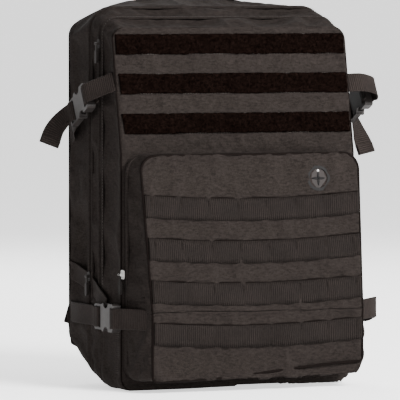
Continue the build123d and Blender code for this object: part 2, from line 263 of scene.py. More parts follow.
FABRIC = (0.0120, 0.0096, 0.0086)
MATERIALS = {
    "pack_fabric": fabric_material("pack_fabric", FABRIC),
    "webbing": webbing_material("webbing", (0.0112, 0.0085, 0.0075)),
    "row_webbing": webbing_material("row_webbing", (0.0076, 0.0058, 0.0051)),
    "loop_pile": pile_material("loop_pile", (0.0009, 0.0005, 0.0004)),
    "mesh": mesh_material("mesh", (0.0162, 0.0132, 0.0120)),
    "lining": fabric_material("lining", (0.0240, 0.0210, 0.0192), 1800, 0.2, 0.03, 0.6, 0.7),
    "padding": mesh_material("padding", (0.0138, 0.0114, 0.0105)),
    "zip_coil": plastic_material("zip_coil", (0.0072, 0.0066, 0.0066), 0.5),
    "buckle_plastic": plastic_material("buckle_plastic", (0.0118, 0.0096, 0.0089), 0.45, specular=0.14),
    "slider_dark": plastic_material("slider_dark", (0.0110, 0.0090, 0.0082), 0.55, 0.1, specular=0.06),
    "slider_metal": plastic_material("slider_metal", (0.22, 0.21, 0.20), 0.28, 0.6, specular=0.6),
    "pull_cord": fabric_material("pull_cord", (0.0084, 0.0072, 0.0066), 2600, 0.3, 0.03, 0.8, 0.1),
    "port_rubber": plastic_material("port_rubber", (0.0021, 0.0017, 0.0016), 0.6, 0.2, specular=0.12),
    "port_disc": plastic_material("port_disc", (0.0135, 0.0110, 0.0104), 0.6, specular=0.12),
    "sheet_plastic": plastic_material("sheet_plastic", (0.0180, 0.0180, 0.0192), 0.5),
    "binding": fabric_material("binding", (0.0057, 0.0043, 0.0039), 2600, 0.3, 0.0, 0.8, 0.1),
    # the dark piping finish, also used for the painted shadow strips along the ladder rows' upper edges
    "piping": fabric_material("piping", (0.0036, 0.0024, 0.0020), 1800, 0.2, 0.0, 0.8, 0.1),
    "dark_thread": fabric_material("dark_thread", (0.0090, 0.0070, 0.0062), 3000, 0.2, 0.0, 0.8, 0.0),
    "thread": fabric_material("thread", (0.0400, 0.0350, 0.0325), 3000, 0.2, 0.03, 0.75, 0.0),
}
# finishes that share a slot of the CAD record
SLOT_OF = {"piping": "pack_fabric", "thread": "webbing", "dark_thread": "webbing", "binding": "webbing",
           "row_webbing": "webbing"}


# ---- Mesh helpers ----
def link(name, verts, faces, slot_name, body=None, replaces=(), smooth=True):
    """A new piece from plain arrays, with its material, its body and what it stands for."""
    mesh = bpy.data.meshes.new(name)
    mesh.from_pydata([(float(v[0]), float(v[1]), max(0.0, float(v[2]))) for v in verts], [], faces)
    mesh.validate()
    if smooth:
        mesh.polygons.foreach_set("use_smooth", [True] * len(mesh.polygons))
    mesh.update()
    obj = bpy.data.objects.new(name, mesh)
    bpy.context.scene.collection.objects.link(obj)
    mesh.materials.append(MATERIALS[slot_name])
    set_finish(obj, SLOT_OF.get(slot_name, slot_name))
    if body:
        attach(obj, body)
    if replaces:
        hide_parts(*replaces)
    return obj


def set_uvs(obj, uvs):
    obj.data.uv_layers.new(name="uv").data.foreach_set("uv", [c for uv in uvs for c in uv])


def modify(obj, kind, **values):
    modifier = obj.modifiers.new(kind.lower(), kind)
    for key, value in values.items():
        setattr(modifier, key, value)
    return modifier


def apply_modifiers(obj):
    """Bakes the modifiers into the mesh."""
    bpy.context.view_layer.update()
    evaluated = obj.evaluated_get(bpy.context.evaluated_depsgraph_get())
    mesh = bpy.data.meshes.new_from_object(evaluated)
    obj.modifiers.clear()
    obj.data = mesh


CLOTH_FRAMES = 20
STIFFNESS = 12.0


def simulate(obj, pinned, pressure, shrink, cap):
    """Cloth under pressure with pinned points; no point moves further than cap."""
    rest = np.array([v.co for v in obj.data.vertices], float)
    group = obj.vertex_groups.new(name="pinned")
    for weight in sorted(set(pinned.values())):
        group.add([i for i, w in pinned.items() if w == weight], weight, "REPLACE")
    cloth = modify(obj, "CLOTH").settings
    for key, value in {
        "vertex_group_mass": "pinned", "quality": 5, "mass": 0.2, "use_pressure": True,
        "uniform_pressure_force": pressure, "shrink_min": shrink, "tension_stiffness": STIFFNESS,
        "compression_stiffness": STIFFNESS, "shear_stiffness": STIFFNESS / 3,
        "bending_stiffness": 0.15, "air_damping": 3,
    }.items():
        setattr(cloth, key, value)
    cloth.effector_weights.gravity = 0
    obj.modifiers[0].collision_settings.use_collision = False
    for number in range(1, CLOTH_FRAMES + 1):
        bpy.context.scene.frame_set(number)
    evaluated = obj.evaluated_get(bpy.context.evaluated_depsgraph_get())
    moved = np.array([v.co for v in evaluated.data.vertices], float)
    obj.modifiers.clear()
    obj.vertex_groups.clear()
    bpy.context.scene.frame_set(1)
    step = moved - rest
    length = np.linalg.norm(step, axis=1, keepdims=True)
    return rest + step * cap * np.tanh(length / cap) / np.maximum(length, 1e-9)


def settle(name, verts, faces, pinned, shrink, cap):
    """A sewn sheet's points after the simulation."""
    work = link(name + "_work", verts, faces, "pack_fabric")
    moved = simulate(work, pinned, PRESSURE, shrink, cap)
    bpy.data.objects.remove(work)
    return moved


def grid_faces(rows, wide):
    """Quads of a grid of points listed row by row."""
    return [(a, a + 1, a + wide + 1, a + wide)
            for i in range(rows - 1) for a in range(i * wide, (i + 1) * wide - 1)]


def extrusion(plan, y0, y1):
    """Vertices and faces of a slab of this plan between two depths."""
    count = len(plan)
    faces = [tuple(range(count)), tuple(range(2 * count - 1, count - 1, -1))]
    faces += [(k, k + count, (k + 1) % count + count, (k + 1) % count) for k in range(count)]
    return [(x, y, z) for y in (y0, y1) for x, z in plan], faces


# ---- Outlines ----
SIDE_STEP = 0.0052
COLUMNS = 60
PRESSURE = 4.0


def row_levels(low, top_start):
    """Row heights as (kind, share): bottom corner, side below the fold, side above it, top corner."""
    below = max(2, round((FOLD - low - BASE_CORNER) / SIDE_STEP))
    above = max(2, round((top_start - FOLD) / SIDE_STEP))
    return [(kind, k / count) for kind, count, stop in
            (("base", 5, 5), ("lower", below, below), ("upper", above, above), ("crown", 9, 10))
            for k in range(stop)]


def fold_row_of(rows):
    return next(i for i, row in enumerate(rows) if row[0] == "upper")


def row_point(row, half, low, top, base_radius, radius, grow=0.0):
    """Height, half width and outward angle of one row of a rounded outline."""
    kind, share = row
    half, low, top = half + grow, low - grow, top + grow
    start, end = low + base_radius, top - radius
    if kind == "lower":
        return start + share * (FOLD - start), half, 0.0
    if kind == "upper":
        return FOLD + share * (end - FOLD), half, 0.0
    centre, bend = (start, base_radius) if kind == "base" else (end, radius)
    angle = (share - (kind == "base")) * math.pi / 2
    return centre + bend * math.sin(angle), half - bend + bend * math.cos(angle), angle


def body_row(row, y, grow=0.0, share=1.0):
    corner = float(np.interp(y, DEPTHS, CORNERS))
    z, half, angle = row_point(row, HALF, low_at(y), top_at(y), BASE_CORNER, corner, grow)
    return z + (rise_at(y, share) if row == ("crown", 1.0) else 0.0), half, angle


def pocket_depth(y):
    return (FRONT_LOW - y) / (FRONT_LOW - FACE_LOW)


def pocket_half(y):
    return MOUTH_HALF + pocket_depth(y) * (FACE_HALF - MOUTH_HALF)


def pocket_row(row, y, grow=0.0, share=1.0):
    base = BASE_CORNER + pocket_depth(y) * (POCKET_FOOT - BASE_CORNER)
    return row_point(row, pocket_half(y), POCKET_BASE, POCKET_TOP, base, POCKET_CORNER, grow)


BODY_ROWS = row_levels(0.0, 0.430)
POCKET_ROWS = row_levels(POCKET_BASE, POCKET_TOP - POCKET_CORNER)
COLUMN_SHARES = [-1 + 2 * k / COLUMNS for k in range(COLUMNS + 1)]


def perimeter(rows):
    """Grid places (row, column) round the outline: up the left, over the top, down the right, back."""
    last = len(rows) - 1
    path = [(r, 0) for r in range(last)]
    path += [(last, c) for c in range(COLUMNS)]
    path += [(r, COLUMNS) for r in range(last, 0, -1)]
    path += [(0, c) for c in range(COLUMNS, 0, -1)]
    return path


def outline_point(rows, row_at, place, y, grow=0.0):
    """The point of an outline at a grid place and depth."""
    r, c = place
    share = COLUMN_SHARES[c]
    z, half, _ = row_at(rows[r], y, grow, share)
    x = share * half if r in (0, len(rows) - 1) else math.copysign(half, share)
    return x, y, z + slump(x, z)


def ring_faces(path, steps, fold_row):
    """Quads between successive rings, and for each quad whether it is above the fold."""
    count = len(path)
    faces, above = [], []
    for j in range(steps):
        for k in range(count):
            n = (k + 1) % count
            a, b = j * count + k, j * count + n
            faces.append((a, b, b + count, a + count))
            above.append(min(path[k][0], path[n][0]) >= fold_row)
    return faces, above


def case(rows, row_at, y_open, y_end, steps):
    """A tray with its rim at y_open and its face at y_end(z). Returns vertices, faces, the rim's
    and the seam's vertex numbers, and for each face whether it is above the fold."""
    path = perimeter(rows)
    count = len(path)
    fold_row = fold_row_of(rows)
    verts = []
    for j in range(steps + 1):
        grow = -GROOVE if j == 0 else 0.0
        for place in path:
            y = y_open
            for _ in range(3):      # the face leans, so depth and height settle together
                z = outline_point(rows, row_at, place, y, grow)[2]
                y = y_open + j / steps * (y_end(z) - y_open)
            verts.append(outline_point(rows, row_at, place, y, grow))
    faces, above = ring_faces(path, steps, fold_row)
    seam = {place: steps * count + k for k, place in enumerate(path)}
    grid = dict(seam)
    for r in range(1, len(rows) - 1):
        x, y, z = verts[seam[r, 0]]
        for c in range(1, COLUMNS):
            grid[r, c] = len(verts)
            verts.append((COLUMN_SHARES[c] * -x, y, z))
    for r in range(len(rows) - 1):
        for c in range(COLUMNS):
            faces.append((grid[r, c], grid[r + 1, c], grid[r + 1, c + 1], grid[r, c + 1]))
            above.append(r >= fold_row)
    if y_end(0.2) > y_open:
        faces = [f[::-1] for f in faces]
    return np.array(verts), faces, list(range(count)) + list(seam.values()), above


def undulate(verts, seed, amount=0.0022):
    """Slow, uneven bulging of stuffed fabric."""
    size, shift = 0.07, Vector((seed, seed * 2, 0))
    return np.array([v + np.array(noise.noise_vector(Vector(v) / size + shift)) * amount for v in verts])


def cut(verts, faces, above, pieces, slot_name):
    """Cuts a sheet at the fold. pieces is {above or None for all: (name, body, nodes)}."""
    for part, (piece, body, nodes) in pieces.items():
        chosen = [f for f, up in zip(faces, above) if part is None or up == part]
        used = sorted({i for f in chosen for i in f})
        renumber = {old: new for new, old in enumerate(used)}
        yield link(piece, verts[used], [tuple(renumber[i] for i in f) for f in chosen], slot_name, body,
                   nodes)


def sewn_case(verts, faces, above, pieces, thick=0.0016):
    """Links the pieces of a settled case and returns its surface, for casting rays."""
    surface = BVHTree.FromPolygons([Vector(v) for v in verts], faces)
    verts = np.column_stack([verts[:, :2], np.maximum(verts[:, 2], thick)])
    for obj in cut(verts, faces, above, pieces, "pack_fabric"):
        modify(obj, "SUBSURF", levels=1, render_levels=1)
        modify(obj, "SOLIDIFY", thickness=thick, offset=-1)
    return surface


def build_case(name, rows, row_at, y_open, y_end, steps, pieces, hold, seed, stiff=None, shape=None,
               cap=0.008):
    """A compartment's walls. hold pins points loosely; stiff keeps them where they are drawn."""
    verts, faces, fixed, above = case(rows, row_at, y_open, y_end, steps)
    bulged = undulate(verts, seed)
    bulged[fixed] = verts[fixed]
    if shape:
        bulged += [shape(v) for v in verts]
    pinned = dict.fromkeys(fixed, 1.0)
    if stiff:
        flat = [i for i, v in enumerate(verts) if stiff(v)]
        bulged[flat] = verts[flat]
        pinned |= dict.fromkeys(flat, 1.0)
    loose = [i for i, v in enumerate(verts) if hold(v)]
    edges = set(fixed)
    pinned |= {i: 0.9 for i in loose if i not in edges}
    return sewn_case(settle(name, bulged, faces, pinned, -0.025, cap), faces, above, pieces)


# ---- Camera, lights and floor ----
VIEW_AZIMUTH = math.radians(-25)
VIEW_ELEVATION = math.radians(2.5)
VIEW_DISTANCE = 6.0
PIXEL = 0.001228            # object size of one of the frame's 400 columns
scene = bpy.context.scene
camera_data = bpy.data.cameras.new("camera")
camera = bpy.data.objects.new("camera", camera_data)
scene.collection.objects.link(camera)
away = Vector((math.sin(VIEW_AZIMUTH) * math.cos(VIEW_ELEVATION),
               -math.cos(VIEW_AZIMUTH) * math.cos(VIEW_ELEVATION), math.sin(VIEW_ELEVATION)))
across = Vector((math.cos(VIEW_AZIMUTH), math.sin(VIEW_AZIMUTH), 0))
target = across * -0.0195 + Vector((0, 0, 0.2252))
camera.location = target + away * VIEW_DISTANCE
camera.rotation_mode = "QUATERNION"
camera.rotation_quaternion = (-away).to_track_quat("-Z", "Y")
camera_data.sensor_width = 36
camera_data.lens = 36 * VIEW_DISTANCE / (400 * PIXEL)
camera_data.clip_end = 900
scene.camera = camera


def area_light(name, place, aim, size, power):
    data = bpy.data.lights.new(name, "AREA")
    data.shape = "DISK"
    data.size = size
    data.energy = power
    light = bpy.data.objects.new(name, data)
    light.location = place
    light.rotation_euler = (Vector(aim) - Vector(place)).to_track_quat("-Z", "Y").to_euler()
    scene.collection.objects.link(light)


area_light("key", (0.9, -2.5, 2.1), (0, 0, 0.25), 1.3, 330)
area_light("fill", (2.4, -1.2, 1.0), (0, 0, 0.25), 2.2, 40)
area_light("rim", (0.4, 2.4, 1.9), (0, 0, 0.3), 1.6, 80)
world = bpy.data.worlds.new("studio")
scene.world = world
world.use_nodes = True
sky = world.node_tree
background = sky.nodes["Background"]
background.inputs["Color"].default_value = (1, 1, 1, 1)
# a bright band at the horizon, dimmer overhead
height = sky.nodes.new("ShaderNodeSeparateXYZ")
sky.links.new(sky.nodes.new("ShaderNodeTexCoord").outputs["Generated"], height.inputs[0])
band = ranged(sky, height.outputs["Z"], From_Min=0.03, From_Max=0.22, To_Min=2.5, To_Max=0.6)
sky.links.new(band, background.inputs["Strength"])

floor_material, _, floor_shader = new_material("floor", (0.86, 0.86, 0.86), 0.7)
floor_shader.inputs["Emission Color"].default_value = (1, 1, 1, 1)
floor_shader.inputs["Emission Strength"].default_value = 1.1
FLOOR = 300.0               # half the floor's side
CORNER_SIGNS = ((-1, -1), (1, -1), (1, 1), (-1, 1))
floor = link("floor", [(a * FLOOR, b * FLOOR, 0) for a, b in CORNER_SIGNS], [(0, 1, 2, 3)],
             "pack_fabric", smooth=False)
floor.data.materials.clear()
floor.data.materials.append(floor_material)
del floor["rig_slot"]


# ---- Sweeps, ribbons and stitches ----
def sweep(name, centres, first, second, profile, slot_name, body=None, closed=False, replaces=()):
    """A profile of (a, b) offsets carried along centres; a runs along first, b along second."""
    count, size = len(centres), len(profile)
    centres, first, second = (np.broadcast_to(np.array(v, float), (count, 3))
                              for v in (centres, first, second))
    verts = [centres[k] + a * first[k] + b * second[k] for k in range(count) for a, b in profile]
    lengths, around = [0.0], [0.0]
    for k in range(1, count + 1):
        lengths.append(lengths[-1] + float(np.linalg.norm(centres[k % count] - centres[k - 1])))
    for k in range(1, size + 1):
        around.append(around[-1] + math.dist(profile[k % size], profile[k - 1]))
    faces, uvs = [], []
    for k in range(count if closed else count - 1):
        n = (k + 1) % count
        for m in range(size):
            o = (m + 1) % size
            faces.append((k * size + m, k * size + o, n * size + o, n * size + m))
            uvs += [(lengths[k], around[m]), (lengths[k], around[m + 1]),
                    (lengths[k + 1], around[m + 1]), (lengths[k + 1], around[m])]
    if not closed:
        for base, order in ((0, 1), ((count - 1) * size, -1)):
            ring = [base + m for m in range(size)][::-order]
            faces.append(tuple(ring))
            uvs += [(0.0, profile[i - base][0]) for i in ring]
    obj = link(name, verts, faces, slot_name, body, replaces)
    set_uvs(obj, uvs)
    return obj


def disc_profile(radius, sides=10, stretch=1.0):
    angles = [2 * math.pi * k / sides for k in range(sides)]
    return [(radius * math.cos(a), radius * stretch * math.sin(a)) for a in angles]


def strap_profile(width, thick):
    """Cross-section of webbing: a flat band with rounded edges and slightly raised selvedges."""
    w, t = width / 2, thick / 2
    upper = [(-w, 0), (-w + t, t), (-w * 0.86, t * 1.1), (-w * 0.8, t * 0.85), (0, t * 0.9),
             (w * 0.8, t * 0.85), (w * 0.86, t * 1.1), (w - t, t), (w, 0)]
    return upper + [(a, -b) for a, b in upper[-2:0:-1]]


def smooth_path(points, steps=10):
    """A rounded line through the control points, evenly enough spaced for webbing."""
    pts = [np.array(p, float) for p in points]
    pts = [2 * pts[0] - pts[1]] + pts + [2 * pts[-1] - pts[-2]]
    out = []
    for k in range(1, len(pts) - 2):
        a, b, c, d = pts[k - 1:k + 3]
        for t in np.linspace(0, 1, steps, endpoint=False):
            out.append(0.5 * ((2 * b) + (c - a) * t + (2 * a - 5 * b + 4 * c - d) * t ** 2
                              + (3 * b - a - 3 * c + d) * t ** 3))
    out.append(pts[-2])
    return np.array(out)


def ribbon(name, points, across, body=None, width=WEB, thick=0.0016, steps=10, replaces=(),
           slot_name="webbing"):
    """Webbing along a smooth path. across is one width direction, or one for each control point."""
    path = smooth_path(points, steps)
    wide = smooth_path(np.broadcast_to(np.array(across, float), (len(points), 3)), steps)
    tangent = np.gradient(path, axis=0)
    tangent /= np.linalg.norm(tangent, axis=1, keepdims=True)
    wide -= (wide * tangent).sum(1, keepdims=True) * tangent
    wide /= np.linalg.norm(wide, axis=1, keepdims=True)
    return sweep(name, path, wide, np.cross(tangent, wide), strap_profile(width, thick), slot_name,
                 body, replaces=replaces)


def walk(path, normals, start, pitch):
    """At even steps along a path: the place, the places just behind and ahead, and the normal."""
    path = np.array(path, float)
    normals = np.broadcast_to(np.array(normals, float), path.shape)
    places = np.concatenate([[0], np.cumsum(np.linalg.norm(np.diff(path, axis=0), axis=1))])

    def value(field, s):
        return np.array([np.interp(s, places, field[:, i]) for i in range(3)])

    for s in np.arange(start, places[-1], pitch):
        yield value(path, s), value(path, s - 0.001), value(path, s + 0.001), value(normals, s)


STITCH = [(-1, 0, 0.2), (-0.7, 1, 0.5), (-0.7, -1, 0.5), (0.7, 1, 0.5), (0.7, -1, 0.5), (1, 0, 0.2),
          (0, 0, 1.0)]
STITCH_FACES = [(0, 1, 6), (1, 3, 6), (3, 5, 6), (5, 4, 6), (4, 2, 6), (2, 0, 6)]
stitch_store = {}


def stitch(body, place, along, normal, length=0.0026, width=0.00045, height=0.0005):
    """One thread float lying on a surface. All the floats of a body become one piece."""
    verts, faces = stitch_store.setdefault(body, ([], []))
    place, along, normal = (np.array(v, float) for v in (place, along, normal))
    along = along / max(np.linalg.norm(along), 1e-9)
    normal = normal / max(np.linalg.norm(normal), 1e-9)
    side = np.cross(normal, along)
    base = len(verts)
    for a, b, c in STITCH:
        verts.append(place + along * a * length / 2 + side * b * width + normal * c * height)
    faces += [tuple(base + i for i in f) for f in STITCH_FACES]


def stitch_line(body, path, normals, pitch=0.0036):
    for place, behind, ahead, normal in walk(path, normals, pitch / 2, pitch):
        stitch(body, place, ahead - behind, normal)


def bar_tack(body, spot, along, across, normal, width, lines):
    """A dense block of threads, each lying along the webbing."""
    spot, along, across = (np.array(v, float) for v in (spot, along, across))
    for k in range(lines):
        offset = (k / (lines - 1) - 0.5) * width
        slip = rng.uniform(-0.0002, 0.0002)
        stitch(body, spot + across * offset + along * slip, along, normal, 0.0024, 0.0005, 0.0006)


def box_stitch(body, corner, along, across, normal, length, width):
    """A sewn box with a cross in it."""
    corner, along, across = (np.array(v, float) for v in (corner, along, across))
    ends = [corner, corner + along * length, corner + along * length + across * width,
            corner + across * width]
    for a, b in ((0, 1), (1, 2), (2, 3), (3, 0), (0, 2), (1, 3)):
        stitch_line(body, [ends[a], ends[b]], normal, 0.0034)


# ---- Edges that follow the outlines ----
def rim_path(rows, row_at, y_of, part="all"):
    """Points and outward directions along an outline. part is all, above or below the fold."""
    points, normals = [], []
    last = len(rows) - 1
    fold_row = fold_row_of(rows)

    def climb(levels, side):
        for r in levels:
            place = (r, COLUMNS if side > 0 else 0)
            y = y_of(0.2)
            for _ in range(3):
                y = y_of(outline_point(rows, row_at, place, y)[2])
            angle = row_at(rows[r], y)[2]
            points.append(outline_point(rows, row_at, place, y))
            normals.append((side * math.cos(angle), 0, math.sin(angle)))

    def cross(r, side, direction):
        for c in range(2, COLUMNS, 2):
            place = (r, c if side > 0 else COLUMNS - c)
            y = y_of(outline_point(rows, row_at, place, y_of(0.2))[2])
            points.append(outline_point(rows, row_at, place, y))
            normals.append((0, 0, direction))

    if part == "below":
        climb(range(fold_row, -1, -1), -1)
        cross(0, 1, -1)
        climb(range(fold_row + 1), 1)
    else:
        first = fold_row if part == "above" else 0
        climb(range(first, last + 1), -1)
        cross(last, 1, 1)
        climb(range(last, first - 1, -1), 1)
        if part == "all":
            cross(0, -1, -1)
    return np.array(points), np.array(normals)


def edging(name, path, profile, slot_name, body, shift=(0, 0), closed=False):
    """Sweeps a (outward, depth) profile along an outline."""
    points, normals = path
    depth = np.array((0.0, 1.0, 0.0))
    sweep(name, points + normals * shift[0] + depth * shift[1], normals, depth, profile, slot_name, body,
          closed)


COIL_PITCH = 0.0024
COIL_SINK = 0.0014
COIL = [(-1, -1, -1), (1, -1, -1), (1, 1, -1), (-1, 1, -1), (-0.7, -0.8, 1), (0.7, -0.8, 1),
        (0.7, 0.8, 1), (-0.7, 0.8, 1)]
COIL_FACES = [(0, 3, 2, 1), (4, 5, 6, 7), (0, 1, 5, 4), (1, 2, 6, 5), (2, 3, 7, 6), (3, 0, 4, 7)]


def coil_teeth(name, path, side, y_plane, body, replaces):
    """Moulded coil elements along one half of a zip, offset from the other half by half a pitch."""
    verts, faces = [], []
    for place, _, ahead, n in walk(*path, COIL_PITCH * (1.0 if side > 0 else 0.5), COIL_PITCH):
        along = (ahead - place) / max(np.linalg.norm(ahead - place), 1e-9)
        centre = place - n * COIL_SINK
        centre[1] = y_plane + side * 0.0012
        base = len(verts)
        for a, b, c in COIL:
            verts.append(centre + along * a * 0.0007 + np.array((0, b * 0.0015, 0)) + n * c * 0.0008)
        faces += [tuple(base + i for i in f) for f in COIL_FACES]
    link(name, verts, faces, "zip_coil", body, replaces, smooth=False)


WELT = disc_profile(0.0022, 10, 27 / 22)
SEAM_ROLL = disc_profile(0.0019, 10, 26 / 19)
TAPE = [(-0.0004, -0.0018), (0.0004, -0.0018), (0.0004, 0.0018), (-0.0004, 0.0018)]
ZIP_START = 0.112


def zip_half(name, rows, row_at, y_plane, side, body):
    """Tape, coil and the covering welt of one half of a zip."""
    points, normals = path = rim_path(rows, row_at, lambda z: y_plane, "above")
    start = next(i for i, p in enumerate(points) if p[2] > ZIP_START)
    teeth = slice(start, len(points) - start)
    coil_teeth(f"{name}_coil", (points[teeth], normals[teeth]), side, y_plane, body, [name])
    edging(f"{name}_tape", path, TAPE, "zip_coil", body, (-0.0022, side * 0.0025))
    wobble = points.copy()
    for i, p in enumerate(points):
        wobble[i][1] += 0.0007 * noise.noise(Vector(p) * 28 + Vector((side * 5, 0, 0)))
    edging(f"{name}_welt", (wobble, normals), WELT, "pack_fabric", body, (-0.0002, side * 0.0044))
    stitch_line(body, points + np.array((0, side * 0.0076, 0)) + normals * 0.0012, normals)


def base_seam(name, rows, row_at, y_plane):
    """Below the fold a zip's line goes on as a sewn seam between two rolled edges."""
    path = rim_path(rows, row_at, lambda z: y_plane, "below")
    for end, side in (("front", -1), ("rear", 1)):
        edging(f"{name}_roll_{end}", path, SEAM_ROLL, "pack_fabric", "root", (-0.0006, side * 0.0026))


# ---- Body ----
def rear_shape(v):
    """The rear compartment's walls sink in low down between the straps, the left one more."""
    x, y, z = v
    depth = math.exp(-((z - 0.165) / 0.05) ** 2) * math.exp(-((y - 0.062) / 0.016) ** 2)
    return np.array((0.008 * depth * (1 if x < 0 else -0.6) * (abs(x) > 0.12), 0, 0))


def near(value, places, reach=0.0027):
    return any(abs(value - p) < reach for p in places)


LOOP_LEVELS = (0.4172, 0.3695, 0.3215)
LOOP_HEIGHT = 0.0235
ROW_LEVELS = (0.219, 0.168, 0.1175)
BASE_ROW = 0.067
ROW_HEIGHT = 0.026
TACK_PITCH = 0.0381
TACKS = [k * TACK_PITCH for k in (-3.5, -2.5, -1.5, -0.5, 0.5, 1.5, 2.5, 3.5)]
STRAP_LEVEL = sum(corner.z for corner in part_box("lower_front_webbing")) / 2


def row_sag(x):
    """The ladder rows hang a little between the pocket's two edges."""
    return 0.0060 * (x / FACE_HALF) ** 2 - 0.0010


def on_panel(v):
    return abs(v[1] - panel_y(v[2])) < 0.001 and abs(v[0]) < HALF - 0.004


def under_strap(v):
    return abs(v[2] - STRAP_LEVEL) < WEB * 0.56 and abs(v[0]) > 0.136


def hold_panel(v):
    edges = [z + s * LOOP_HEIGHT / 2 for z in LOOP_LEVELS for s in (-1, 1)]
    return (on_panel(v) and near(v[2], edges)) or under_strap(v)


port_low, port_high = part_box("cable_port_ring")
PORT = (port_low + port_high) / 2
PORT_RADIUS = (port_high.x - port_low.x) / 2


def pocket_shape(v):
    """Pressed in behind the cable port, with a slack pleat low down on each side wall."""
    x, y, z = v
    if abs(y - face_y(z)) < 0.001:
        behind_port = math.hypot(x - PORT.x, z - PORT.z) < PORT_RADIUS * 0.8
        return np.array((0, 0.0022 if behind_port else 0.0, 0))
    if abs(x) < 0.135:
        return np.zeros(3)
    across = (y + 0.098) * 0.82 + (z - 0.037) * 0.57
    fade = min(1.0, max(0.0, (0.100 - z) / 0.03)) * min(1.0, max(0.0, z / 0.012))
    pleat = math.exp(-((across - 0.002) / 0.0065) ** 2) - math.exp(-((across + 0.012) / 0.006) ** 2)
    return np.array((math.copysign(0.0045 * pleat * fade, x), 0, 0))


def hold_face(v):
    if abs(v[1] - face_y(v[2])) > 0.001:
        return under_strap(v)
    if math.hypot(v[0] - PORT.x, v[2] - PORT.z) < PORT_RADIUS * 1.15:
        return True
    rows = near(v[2] - row_sag(v[0]), (*ROW_LEVELS, BASE_ROW), 0.011)
    return rows and near(v[0], TACKS, 0.0026)


rear_surface = build_case(
    "rear", BODY_ROWS, body_row, MAIN_Y + 0.0008, lambda z: BACK, 13,
    {None: ("rear_compartment", "root", ["rear_shell"])}, under_strap, 3, shape=rear_shape,
    stiff=lambda v: v[1] > BACK - 0.0001,     # the frame sheet keeps the back flat
)
front_surface = build_case(
    "front", BODY_ROWS, body_row, SECOND_Y - 0.0008, panel_y, 9,
    {True: ("front_compartment", "front_panel", ["front_shell", "admin_panel"]),
     False: ("front_base", "root", ["base_tub"])}, hold_panel, 11,
    stiff=lambda v: on_panel(v) and v[2] < POCKET_TOP + 0.004,     # the organiser is sewn behind it
)
pocket_surface = build_case(
    "pocket", POCKET_ROWS, pocket_row, POCKET_Y - 0.0008, face_y, 10,
    {True: ("pocket_cover", "door", ["pocket_door"]),
     False: ("pocket_base", "root", ["pocket_tub"])}, hold_face, 23, cap=0.007,
    shape=pocket_shape,
)


def build_gusset(steps=7):
    """The middle compartment's band between its two zips, cut at the fold."""
    path = perimeter(BODY_ROWS)
    count = len(path)
    verts = []
    for j in range(steps + 1):
        y = MAIN_Y - 0.0008 + (SECOND_Y - MAIN_Y + 0.0016) * j / steps
        grow = -GROOVE if j in (0, steps) else 0.0
        verts += [outline_point(BODY_ROWS, body_row, place, y, grow) for place in path]
    faces, above = ring_faces(path, steps, fold_row_of(BODY_ROWS))
    verts = np.array(verts)
    bulged = undulate(verts, 5, 0.0016)
    fixed = [*range(count), *range(steps * count, len(verts))]
    bulged[fixed] = verts[fixed]
    pinned = {i: 0.9 for i, v in enumerate(verts) if under_strap(v)} | dict.fromkeys(fixed, 1.0)
    return sewn_case(settle("gusset", bulged, faces, pinned, -0.03, 0.005), faces, above, {
        True: ("mid_compartment", "mid_section", ["mid_gusset"]),
        False: ("mid_base", "root", [])})


mid_surface = build_gusset()

# ---- Zips ----
for zip_name, rows, row_at, y_plane, rear_body, front_body in (
    ("main_zip", BODY_ROWS, body_row, MAIN_Y, "root", "mid_section"),
    ("second_zip", BODY_ROWS, body_row, SECOND_Y, "mid_section", "front_panel"),
    ("pocket_zip", POCKET_ROWS, pocket_row, POCKET_Y, "front_panel", "door"),
):
    for half_name, side, body in (("rear", 1, rear_body), ("front", -1, front_body)):
        zip_half(f"{zip_name}_{half_name}", rows, row_at, y_plane, side, body)
    base_seam(f"{zip_name}_base", rows, row_at, y_plane)

# ---- Piping ----
CORD = disc_profile(0.0017)
PIPING_LIFT = (0.0002, 0)


def piping(name, rows, row_at, y_of, body_above, body_below, cord):
    for part, body in (("above", body_above), ("below", body_below)):
        edging(f"{name}_{part}", rim_path(rows, row_at, y_of, part), cord, "piping", body, PIPING_LIFT)


piping("panel_piping", BODY_ROWS, body_row, panel_y, "front_panel", "root", disc_profile(0.0010))
piping("pocket_piping", POCKET_ROWS, pocket_row, face_y, "door", "root", CORD)
edging("back_piping", rim_path(BODY_ROWS, body_row, lambda z: BACK), CORD, "piping", "root", PIPING_LIFT,
       closed=True)


# ---- Strips on the faces ----
def cast(tree, origin, fallback):
    """Where a ray going straight back meets a surface."""
    return tree.ray_cast(Vector(origin), Vector((0, 1, 0)))[0] or Vector(fallback)


def face_strip(name, surface, y_at, z_mid, height, half, thick, lift, slot_name, body, puff,
               step=0.003, rows=6, rough=0.0, replaces=(), skew=0.0, sag=lambda x: 0.0):
    """A strip sewn to a simulated face, following its surface smoothed along the strip. Returns the
    grid of its points."""
    xs = np.linspace(-half, half, max(2, round(2 * half / step)))
    zs = np.linspace(z_mid - height / 2, z_mid + height / 2, rows)
    wide = len(xs)
    verts = []
    for i, z in enumerate(zs):
        share = i / (rows - 1)
        plane = y_at(z)
        depth = [cast(surface, (x, plane - 0.06, z + sag(x)), (x, plane, z)).y for x in xs]
        depth = np.convolve(np.pad(depth, 4, mode="edge"), np.ones(9) / 9, "valid")
        for j, x in enumerate(xs):
            raised = puff(x, share) + (rough * rng.uniform(-1, 1) if rough else 0.0)
            slant = skew * (1 - share) * (1 - j / (wide - 1))
            verts.append((x + slant, depth[j] - lift - raised, z + sag(x)))
    faces = grid_faces(rows, wide)
    obj = link(name, verts, faces, slot_name, body, replaces)
    set_uvs(obj, [(xs[i % wide], zs[i // wide]) for f in faces for i in f])
    modify(obj, "SOLIDIFY", thickness=thick, offset=1)
    return np.array(verts).reshape(rows, wide, 3)


